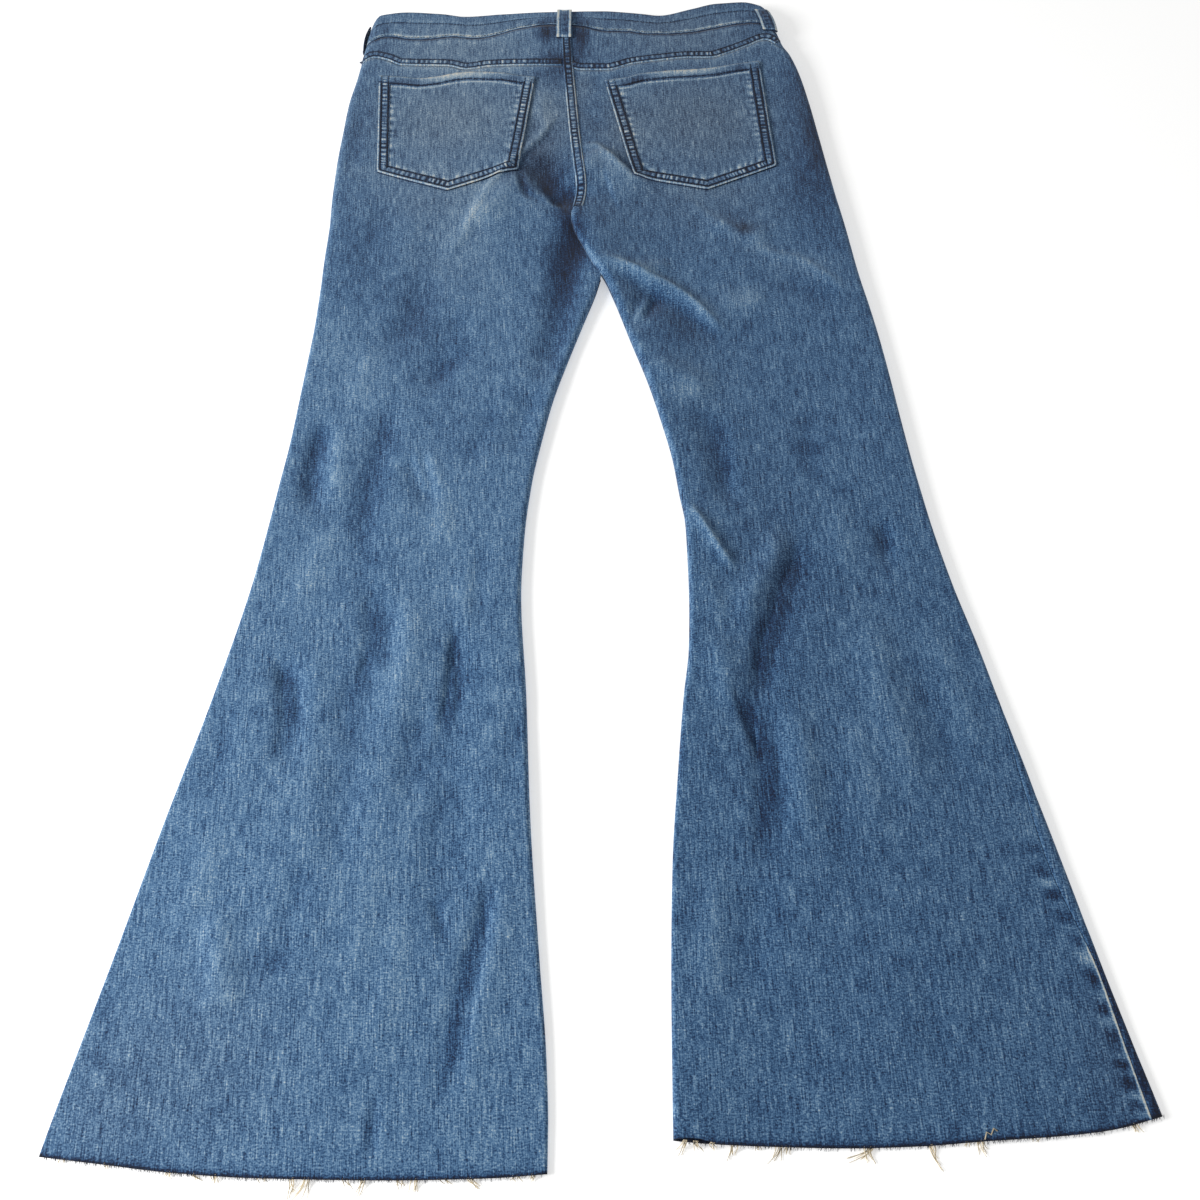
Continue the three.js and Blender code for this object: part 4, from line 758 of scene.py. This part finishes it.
def tubes(name, paths, sides, material):
    """Threads in one mesh: each path is a list of (x, up, z, radius)."""
    points, faces, shade = [], [], []
    angle = np.arange(sides) * 2 * math.pi / sides
    for path in paths:
        p, radius = np.asarray(path, float)[:, :3], np.asarray(path, float)[:, 3]
        along = np.gradient(p, axis=0)
        along /= np.linalg.norm(along, axis=1)[:, None] + 1e-9
        side = np.cross(along, (0.0, 0.0, 1.0))
        length = np.linalg.norm(side, axis=1)[:, None]
        side = np.where(length > 1e-3, side / (length + 1e-9), (1.0, 0.0, 0.0))
        lift = np.cross(side, along)
        ring = side[:, None] * np.cos(angle)[None, :, None] + lift[:, None] * np.sin(angle)[None, :, None]
        start = len(points)
        points += (p[:, None] + ring * radius[:, None, None]).reshape(-1, 3).tolist()
        for i in range(len(p) - 1):
            for j in range(sides):
                a, b = start + i * sides + j, start + i * sides + (j + 1) % sides
                faces.append((a, a + sides, b + sides, b))
        faces.append(tuple(start + j for j in range(sides)))
        faces.append(tuple(start + (len(p) - 1) * sides + j for j in reversed(range(sides))))
        shade += [float(rng.random())] * (len(p) * sides)
    return make(name, points, faces, [material], {"shade": shade})


def measured(path):
    """A path as evenly spaced places, with a function from length to place and to the way along."""
    p = np.asarray(path, float)
    length = np.concatenate([[0], np.cumsum(np.hypot(*np.diff(p, axis=0).T))])

    def at(s):
        x, up = np.interp(s, length, p[:, 0]), np.interp(s, length, p[:, 1])
        ahead = np.interp(s + 1.5, length, p[:, 0]) - np.interp(s - 1.5, length, p[:, 0])
        rise = np.interp(s + 1.5, length, p[:, 1]) - np.interp(s - 1.5, length, p[:, 1])
        size = np.hypot(ahead, rise) + 1e-9
        return x, up, ahead / size, rise / size

    return length[-1], at


STITCHES = []


def stitch_line(path, height, offset, radius, lift):
    """A row of stitches along a path, offset to its left."""
    total, at = measured(path)
    count = int((total - 1.2) / STITCH_PITCH)
    start = 0.6 + STITCH_PITCH * (np.arange(count) + rng.normal(0, 0.05, count))[:, None]
    size = np.array([0.35, 0.95, 1.0, 0.95, 0.35])
    x, up, dx, dy = at(start + np.array([0, 0.16, 0.5, 0.84, 1]) * STITCH_PITCH * 0.74)
    drift = offset + rng.normal(0, 0.12, (count, 1))
    x, up = x - dy * drift, up + dx * drift
    z = height(x, up) + lift - 0.35 * (size < 0.5)
    STITCHES.extend(np.stack([x, up, z, radius * size * np.ones(x.shape)], axis=-1))


def ribbon(name, path, width, height, profile, look, rows, radius, lift, side=None):
    """A narrow band of cloth to the left of a path, raised over a surface, with rows of stitches on it.
    Its profile and look take the place along the path and the share across it."""
    step, across = 0.8, 14
    total, at = measured(path)
    s = np.arange(0, total + step, step)
    share = np.linspace(0, 1, across)
    x0, up0, dx, dy = at(s)
    d = share[None, :] * width
    x = x0[:, None] - dy[:, None] * d
    up = up0[:, None] + dx[:, None] * d
    ss = np.repeat(s[:, None], across, axis=1)
    z = height(x, up) + profile(ss, share[None, :])
    fields = cloth_fields(x, up, look(ss, share[None, :]), side)
    points = np.stack([x, up, z], axis=-1).reshape(-1, 3)
    make(name, points, grid_faces(len(s), across, flip=True), [DENIM], fields)
    for place in rows:
        stitch_line(path, height, place * width, radius, lift)


def pucker(seed, period):
    """Uneven waves along a seam, from -1 to 1."""
    count = 400
    shift = np.random.default_rng(seed)
    knots = np.cumsum(period * (0.45 + 1.1 * shift.random(count)))
    knots = np.concatenate([[0], knots])
    heights = (0.2 + 0.8 * shift.random(count + 1)) * np.where(np.arange(count + 1) % 2, 1, -1)

    def at(s):
        i = np.clip(np.searchsorted(knots, s) - 1, 0, count - 1)
        t = ease((s - knots[i]) / (knots[i + 1] - knots[i]))
        return mix(heights[i], heights[i + 1], t)

    return at


def felled(seed, pale_low, pale_high, lines=SEAM_ROWS, rise=1.0, dark=0.48):
    """The profile and look of a felled seam: a rounded ridge, with rungs between two rows of stitches."""
    wave = pucker(seed, 2.3)

    def profile(s, t):
        hump = ease(t / 0.08) * ease((1 - t) / 0.08) * rise
        inner = ease((t - lines[0] - 0.06) / 0.12) * ease((lines[1] - 0.06 - t) / 0.12)
        groove = sum(bell(t - c, 0.055) for c in lines)
        return hump + 0.4 * wave(s) * inner - 0.3 * groove

    def look(s, t):
        inner = ease((t - lines[0] - 0.04) / 0.1) * ease((lines[1] - 0.04 - t) / 0.1)
        groove = sum(bell(t - c, 0.085) for c in lines)
        low, high = bell(t - 0.04, 0.08), bell(t - 0.96, 0.08)
        edge = 0.75 + 0.25 * wave(s + 1.7)
        rungs = 0.5 * wave(s) * (0.8 + 0.35 * np.sin(s / 13 + seed)) - 0.03
        return rungs * inner - dark * groove + (pale_low * low + pale_high * high) * edge

    return profile, look


# The camera, lights and floor

FRAME_WIDTH, FOCAL_LENGTH, SHIFT = 1200, 1115, 2.5  # in the frame's pixels
SENSOR = 36
CAMERA_HEIGHT, CAMERA_DOWN = 0.740, 63  # metres over the floor, degrees below the level
PALE_GLOW, WORLD_LIGHT = 0.42, 0.42
KEY_PLACE, KEY_SIZE, KEY_POWER = (-1.5, -0.45, 0.85), 0.6, 31

camera_data = bpy.data.cameras.new("camera")
camera = placed("camera", camera_data)
bpy.context.scene.camera = camera
camera_data.sensor_width = SENSOR
camera_data.lens = SENSOR * FOCAL_LENGTH / FRAME_WIDTH
camera_data.clip_start = 0.01
camera_data.shift_y = SHIFT / FRAME_WIDTH
camera.location = (-MIDDLE_X / 1000, -MIDDLE_UP / 1000, CAMERA_HEIGHT)
camera.rotation_euler = (math.radians(90 - CAMERA_DOWN), 0, 0)

floor_mesh = bpy.data.meshes.new("floor")
floor_mesh.from_pydata([(-6, -6, 0), (6, -6, 0), (6, 6, 0), (-6, 6, 0)], [], [(0, 1, 2, 3)])
floor = placed("floor", floor_mesh)
floor.location = (0, 0, -0.0002)
pale_floor = plain("pale_floor", (247, 247, 246), 0.9)
glow = {"Emission Color": (1, 1, 1, 1), "Emission Strength": PALE_GLOW}
fill(pale_floor.node_tree.nodes["Principled BSDF"], glow)
floor_mesh.materials.append(pale_floor)

world = bpy.data.worlds.new("world")
bpy.context.scene.world = world
world.use_nodes = True
fill(world.node_tree.nodes["Background"], {"Color": (1, 1, 1, 1), "Strength": WORLD_LIGHT})

key_data = bpy.data.lights.new("key", "AREA")
key_data.size = KEY_SIZE
key_data.energy = KEY_POWER
key = placed("key", key_data)
key.location = KEY_PLACE
key.rotation_euler = (-Vector(KEY_PLACE)).to_track_quat("-Z", "Y").to_euler()
bpy.context.scene.view_settings.view_transform = "Standard"
bpy.context.scene.view_settings.look = "None"

# Leg panels


def hem_ink(side, x, up):
    """The dark line of the raw edge."""
    return -0.42 * bell(up - hem_at[side](x), 1.5) - 0.1 * bell(up - hem_at[side](x), 5)


for side in ("left", "right"):
    flip = side == "right"
    notch = NOTCH if side == "right" else 0
    x, up, _ = panel(side, "top", rows_of(BACK_ROWS), BACK_FLATS, leg(side, yoke_at, notch))
    z = top_height(side, x, up)
    boundary = seat_at(up)
    # Painted shade beside the seat seam; on the left panel a painted shadow under the right thigh's edge, on
    # the right panel a pale line along that edge.
    seat_shading = bell(x - boundary - 4, 9) * ease((up - 790) / 40) * -0.10
    overlap = ease((up - 690) / 12) * ease((806 - up) / 12)
    if side == "left":
        seat_shading = seat_shading - 0.14 * bell(boundary - x, 9) * overlap
    else:
        seat_shading = seat_shading + 0.16 * bell(x - boundary - 1.5, 2.0) * overlap
    near_yoke = bell(up - yoke_at(x) + 2, 5) * 0.10
    ink_and_shade = hem_ink(side, x, up) + seat_shading + near_yoke
    if side == "right":
        inside = x[:, :1] - x
        ink_and_shade = ink_and_shade + ease((215 - up) / 60) * bell(inside - 5, 5) * (0.34 * pucker(5, 8)(up) - 0.04)
        ink_and_shade = ink_and_shade + ease((150 - up) / 40) * 0.6 * bell(inside - 0.6, 0.9)
    fields = cloth_fields(x, up, ink_and_shade, side)
    shell("back_panel_" + side, x, up, z, fields, WALL, flip)

    x, up, over = panel(side, "bottom", rows_of(FRONT_ROWS), FRONT_FLATS, leg(side, front_seam_at))
    z = np.where(over, top_height(side, x, up), bottom_height(side, x, up))
    ink_and_shade = hem_ink(side, x, up)
    if side == "right":
        # On the right front: darker along the strip round the side seam near the hem, and a painted shadow
        # under the notched back hem.
        ink_and_shade = ink_and_shade - 0.24 * over * ease((140 - up) / 22) - 0.4 * bell(x - 56, 15) * bell(up - 16, 8)
    shell("front_panel_" + side, x, up, z, cloth_fields(x, up, ink_and_shade, side), WALL, not flip)

    x, up, _ = panel(side, "top", np.linspace(0, 1, 22), YOKE_FLATS, between(yoke_at, band_at))
    z = top_height(side, x, up)
    # A painted shadow just under the waistband's edge, and a paler band below it.
    ink_and_shade = bell(up - band_at(x) + 1.0, 1.2) * -0.22 + bell(up - band_at(x) + 5, 3) * 0.06
    shell("back_yoke_" + side, x, up, z, cloth_fields(x, up, ink_and_shade, side), WALL, flip)

    rows = np.linspace(0, 1, 16)
    x, up, over = panel(side, "bottom", rows, BAND_FLATS, between(front_seam_at, front_top_at))
    z = np.where(over, top_height(side, x, up), bottom_height(side, x, up))
    edge = bell(up - front_top_at(x), 1.6) * 0.14 + bell(up - front_seam_at(x), 1.6) * -0.14
    fields = cloth_fields(x, up, edge, side)
    shell("waistband_front_" + side, x, up, z, fields, BAND_WALL, not flip)

# The back waistband, whole from side seam to side seam
BAND_STITCH_AT = 0.6  # the share of its depth where the upper row of stitches runs
band_share = np.linspace(0, 1, 26)
band = between(band_at, top_at)
halves = [panel(side, "top", band_share, YOKE_FLATS, band) for side in ("left", "right")]
x, up = (np.hstack([halves[0][k][:, :-1], halves[1][k][:, :-1][:, ::-1]]) for k in (0, 1))
on_left = np.arange(x.shape[1]) < halves[0][0].shape[1] - 1
z = np.where(on_left[None, :], top_height("left", x, up), top_height("right", x, up))
t = band_share[:, None]
band_wave, top_wave = pucker(21, 7)(x + 300), pucker(22, 11)(x + 300)
groove = bell(t - BAND_STITCH_AT, 0.045) * (0.65 + 0.35 * top_wave) * ease((np.abs(x + 36) - 26) / 16)
z = z - 0.35 * groove + 0.22 * band_wave * bell(t - 0.1, 0.16) + 0.15 * top_wave * bell(t - 0.8, 0.2)
look = -0.26 * groove + 0.1 * bell(t - 0.66, 0.05) - 0.12 * bell(t - 0.97, 0.03)
look = look - 0.5 * bell(t, 0.035) + 0.42 * bell(t - 0.1, 0.045)
look = look * (0.8 + 0.25 * band_wave) + 0.05 * band_wave * bell(t - 0.3, 0.3)
shell("waistband_back", x, up, z, cloth_fields(x, up, look), BAND_WALL)
low_row = [(a, float(band_at(a)) + 3.2) for a in np.arange(-226, 172, 2.0)]
stitch_line(low_row, back_height, 0, 0.3, 0.12)
places = np.arange(-222, 170, 2.0)
high_row = [(a, mix(float(band_at(a)), float(top_at(a)), BAND_STITCH_AT)) for a in places]
stitch_line(high_row, back_height, 0, 0.36, -0.12)

# Felled seams of the yokes and the seat
SEAM_STEP = 1.5


def surface(side):
    """The upper cloth's height on one side, as a function of the place."""
    return lambda x, up: top_height(side, x, up)


for side, ends, seed in (("left", (-229.5, -36), 3), ("right", (-30, 172.5), 4)):
    path = [(a, float(yoke_at(a)) + 0.2) for a in np.arange(*ends, SEAM_STEP)]
    profile, look = felled(seed, 0.46, 0.1)
    ribbon("yoke_seam_" + side, path, SEAM_WIDTH, surface(side), profile, look, SEAM_ROWS, 0.5, 0.75,
           side)

seat_path = [(float(seat_at(u)) - 0.4, u) for u in np.arange(*SEAT_SEAM_ENDS, -SEAM_STEP)]
profile, look = felled(9, 0.1, 0.1, rise=1.15)


def seat_look(s, t):
    """The seat seam's pale edges below the yoke. Its path runs down, so its left is the wearer's right."""
    right_edge = 0.45 * bell(t - 0.94, 0.09) * ease((s - 30) / 30)
    left_edge = 0.3 * bell(t - 0.05, 0.08) * ease((s - 70) / 30)
    return look(s, t) + right_edge + left_edge


ribbon("seat_seam", seat_path, SEAM_WIDTH, surface("right"), lambda s, t: profile(s, t) + 0.12, seat_look,
       SEAM_ROWS, 0.5, 0.95)

# Back pockets

# The corners of each pocket: top left, top right, low left, low right, tip
POCKETS = {
    "left": ((-212, 936), (-62.5, 936), (-203.5, 811.5), (-75, 816), (-137.5, 789.5)),
    "right": ((4.5, 931.5), (154, 957), (31, 806), (161.5, 819.5), (98, 791)),
}
# How the top edge waves: share across, rise over the straight line between its corners
POCKET_TOPS = {
    "left": line([(0, 0), (0.12, -0.4), (0.25, -2), (0.37, 0.6), (0.5, 6), (0.6, 7.4), (0.78, 6), (0.9, 2),
                  (1, 0)]),
    "right": line([(0, 0), (0.12, 0), (0.24, 3.2), (0.4, 2.6), (0.55, 0.6), (0.7, -0.6), (0.85, 0.6),
                   (1, 0)]),
}
POCKET_SEEDS = {"left": (31, 41, 51), "right": (32, 42, 52)}
POCKET_TONE = {"left": -0.01, "right": 0.02}
POCKET_HEM, POCKET_OUT = 11.0, 1.65
BORDER_WIDTH, BORDER_ROWS = 11.0, (0.25, 0.84)


def pocket_base(side):
    """The height that a pocket lies at: over the panel, and smoother than it."""

    def at(x, up):
        around_it = ((0, 0), (5, 0), (-5, 0), (0, 5), (0, -5))
        layers = [top_height(side, x + dx, up + dy) for dx, dy in around_it]
        return np.maximum(np.mean(layers, axis=0), layers[0]) + POCKET_OUT

    return at


for side, (top_l, top_r, low_l, low_r, tip) in POCKETS.items():
    top_l, top_r, low_l, low_r, tip = (np.array(p, float) for p in (top_l, top_r, low_l, low_r, tip))
    base = pocket_base(side)
    ripple_seed, hem_seed, border_seed = POCKET_SEEDS[side]
    a = np.linspace(0, 1, 88)[None, :]
    v = np.linspace(0, 1, 84)[:, None]
    drop = (low_l[1] + low_r[1]) / 2 - tip[1]
    low_x = mix(low_l[0], low_r[0], a)
    low_y = mix(low_l[1], low_r[1], a) - drop * (1 - np.abs(2 * a - 1))
    high_x = mix(top_l[0], top_r[0], a)
    high_y = mix(top_l[1], top_r[1], a) + POCKET_TOPS[side](a)
    x, up = mix(low_x, high_x, v), mix(low_y, high_y, v)
    tall = high_y - low_y
    wide = high_x[0, -1] - high_x[0, 0]
    from_top, from_low = (1 - v) * tall, v * tall
    from_side = np.minimum(a, 1 - a) * wide
    near = np.minimum(from_side, from_low)
    ripple = pucker(ripple_seed, 4.2)(np.where(from_side < from_low, up, x + 400))
    fade = bell(near - 10, 7) * (near > 6) * ease(from_top / 20)
    z = base(x, up) + 0.3 * ripple * fade
    hem = ease((POCKET_HEM - from_top) / 1.6)
    hem_wave = pucker(hem_seed, 6)(x + 400)
    z = z + 0.8 * hem + 0.2 * hem_wave * bell(from_top - POCKET_HEM * 0.55, 4)
    look = 0.26 * ripple * fade + (0.12 + 0.08 * ripple) * bell(near - 13, 2.2) * ease(from_top / 20)
    look = look + 0.44 * bell(from_top, 1.8) * (0.75 + 0.4 * hem_wave) * bell(a - 0.5, 0.75)
    look = look - 0.16 * hem * bell(a - 0.2, 0.08) - 0.12 * hem * bell(a - 0.86, 0.06)
    look = look + 0.3 * bell(from_top - 3, 4.0) * bell(a - 0.5, 0.2)
    below_hem = from_top - POCKET_HEM
    look = look - 0.42 * bell(below_hem + 1.2, 1.1) + 0.34 * bell(below_hem - 1.4, 1.3) + POCKET_TONE[side]
    fields = cloth_fields(x, up, look, side)
    shell("back_pocket_" + side, x, up, z, fields, WALL)
    hem_row = list(zip(high_x[0], high_y[0] - POCKET_HEM + 1.4))[4:-4]
    stitch_line(hem_row, base, 0, 0.34, 0.9)
    border = rounded([top_l + (0.0, -0.4), low_l, tip, low_r, top_r + (0.0, -0.4)], (3.0, 1.2, 3.0))
    profile, look_at = felled(border_seed, 0.5, 0.0, lines=BORDER_ROWS, rise=0.5, dark=0.54)
    ribbon("pocket_border_" + side, border, BORDER_WIDTH, base, lambda s, t: profile(s, t) + 0.25, look_at,
           BORDER_ROWS, 0.52, 0.75, side)

# Belt loops

LOOP_WIDE = 12.5
CENTRE_LOOP = -35.5


def loop_mesh(place, points_at, seed, pale):
    """A belt loop: points_at gives the middle face over a grid of shares across and along, flat its cut."""
    a, v = np.meshgrid(np.linspace(-0.5, 0.5, 17), np.linspace(0, 1, 44))
    base = points_at(a, v)
    normal = np.cross(np.gradient(base, axis=1), np.gradient(base, axis=0))
    normal /= np.linalg.norm(normal, axis=-1)[..., None]
    wave = pucker(seed, 2.6)
    columns = bell(a - 0.02, 0.2)
    ends = bell(v - 0.04, 0.035) + bell(v - 0.96, 0.035)
    out = 0.7 + 1.3 * np.sin(math.pi * v) + LOOP_WALL - 0.25 * columns
    out = out + 0.15 * wave(v * 36) * (np.abs(a) < 0.3)
    x, up, z = np.moveaxis(base + normal * out[..., None], -1, 0)
    look = -0.34 * columns * (0.8 + 0.5 * wave(v * 36 + 1)) + 0.44 * bell(np.abs(a) - 0.4, 0.07)
    look = look + pale - 0.3 * bell(np.abs(a) - 0.25, 0.05) + 0.5 * ends * (0.7 + 0.5 * wave(a * 30 + 90))
    fields = cloth_fields(x, up, look)
    made = cloth_wall("loop_" + place, x, up, z, fields, LOOP_WALL, "belt_loop_" + place)


def centre_loop(a, v):
    up = mix(float(band_at(CENTRE_LOOP)) - 19.5, float(top_at(CENTRE_LOOP)) - 0.6, v)
    places = np.linspace(-0.5, 0.5, 4)
    z = np.max([back_height(CENTRE_LOOP + k * LOOP_WIDE, up) for k in places], axis=0) + 0.3
    return np.stack([CENTRE_LOOP + a * (LOOP_WIDE + 2.0), up, z], axis=-1)


def side_loop(side, middle):
    def at(a, v):
        x0 = float(around(side, 1000.0, middle))
        up = mix(float(band_at(x0)) - 5.5, float(top_at(x0)) - 0.3, v)
        turn = 1 if side == "left" else -1
        s = middle + turn * a * (LOOP_WIDE + 1.6)
        x = around(side, up, s)
        z = np.where(s >= 0, top_height(side, x, up), bottom_height(side, x, up))
        return np.stack([x, up, z], axis=-1)

    return at


def front_loop(x0):
    def at(a, v):
        up = mix(float(front_seam_at(x0)) - 2.5, float(front_top_at(x0)) - 0.6, v)
        return np.stack([x0 - a * LOOP_WIDE, up, np.full(up.shape, FRONT_LIFT + GAP)], axis=-1)

    return at


loop_mesh("centre_back", centre_loop, 61, 0.2)
loop_mesh("right_side", side_loop("right", 13.0), 62, 0.08)
loop_mesh("left_side", side_loop("left", -3.2), 63, 0)
loop_mesh("front_left", front_loop(-128), 64, 0)
loop_mesh("front_right", front_loop(62), 65, 0)

# The raw hems

# Tufts: x, how far down, how far to the right, number of threads
TUFTS = {
    "left": [(-318, 2.5, -1, 2), (-291, 2.5, 1, 1), (-254, 4.2, -2.4, 2), (-240, 3.6, 4, 2),
             (-227, 4, 0, 2), (-200, 2.4, 1.6, 1), (-180, 11, 0.6, 3), (-172, 11.4, -7.6, 4),
             (-148, 4.6, 2, 1), (-140, 8.2, -3.2, 3), (-118, 4.8, 0.8, 3), (-107, 6.8, -1.6, 4),
             (-92, 2.4, 4, 2), (-76, 5.4, 5.6, 4), (-48, 2.6, 1.8, 3), (-40, 3.4, -1, 3)],
    "right": [(50.5, 7.4, -4.8, 3), (56, 4.4, 2.4, 3), (66, 3.6, 1.2, 3), (79, 8.4, -1.4, 3),
              (94, 2.4, 0.6, 2), (107, 9, -6.6, 3), (111, 4.2, 0.8, 2), (158, 8.6, 2.6, 3),
              (162, 7.8, -15, 4), (197, 13.6, 7.4, 4), (219, 2.4, 1, 2), (227, 8, 3.6, 4),
              (262, 2.2, -1.6, 1), (320, 4.4, 4.6, 4)],
}
# One long thread that lies curled on the right leg: x, up
CURLED_THREAD = [(229, 16.5), (230.5, 20.5), (233, 19), (235, 22.5), (237, 21)]
FUZZ_COUNT = 420


def hem_ends(side):
    """The x of the hem's outer end and of its inner end."""
    return float(SIDES[side]["outer"](5.0)), float(SIDES[side]["inner"](5.0))


def edge_height(side):
    """The height of the hem's upper face at an x."""
    outer, inner = hem_ends(side)
    x = np.linspace(*sorted((outer * 1.02, inner)), 240)
    z = top_height(side, x, hem_at[side](x) + 1.0)
    return lambda place: float(np.interp(place, x, z))


for side in ("left", "right"):
    threads = []
    root_at = edge_height(side)
    for x0, reach, lean, count in TUFTS[side]:
        for k in range(count + 2):
            x = x0 + rng.normal(0, 1.3)
            up = float(hem_at[side](x))
            root = root_at(x) - 0.7
            far = reach * (1.0 if k == 0 else rng.uniform(0.45, 0.98))
            sway = lean * (1.0 if k == 0 else rng.uniform(0.2, 1.0)) + rng.normal(0, 0.8)
            curl = rng.normal(0, 0.5)
            path = []
            for t in np.linspace(0, 1, 9):
                drop = min(1.0, t * (0.7 + reach / 14))
                z = max(0.35, mix(root, 0.45, drop) + 0.5 * math.sin(2.6 * t + k))
                px = x + sway * t ** 1.7 + curl * math.sin(5 * t)
                path.append((px, up + 1.0 - (far + 1.0) * t, z, 0.4 * (1 - 0.6 * t)))
            threads.append(path)
    if side == "right":
        threads.append([(x, up, float(top_height(side, x, up)) + 0.5, 0.42) for x, up in CURLED_THREAD])
    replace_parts(tubes("fringe_" + side, threads, 5, CREAM), "hem_fringe_" + side)
    fuzz = []
    low, high = sorted(hem_ends(side))
    for _ in range(FUZZ_COUNT):
        x = mix(low + 4, high - 3, rng.random())
        up = float(hem_at[side](x))
        root = root_at(x) - rng.uniform(0.1, 1.1)
        reach, lean = rng.uniform(0.5, 2.0), rng.normal(0, 0.7)
        fuzz.append([(x + lean * t, up + 0.8 - (reach + 0.8) * t, max(0.3, root - 0.8 * t * t),
                      0.17 * (1 - 0.5 * t)) for t in (0, 0.5, 1)])
    tubes("raw_edge_fuzz_" + side, fuzz, 3, STITCH)

# All stitches in one mesh, and the button's metal

tubes("stitches", STITCHES, 4, STITCH)
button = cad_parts["waist_button"]
button.data.materials.clear()
button.data.materials.append(METAL)
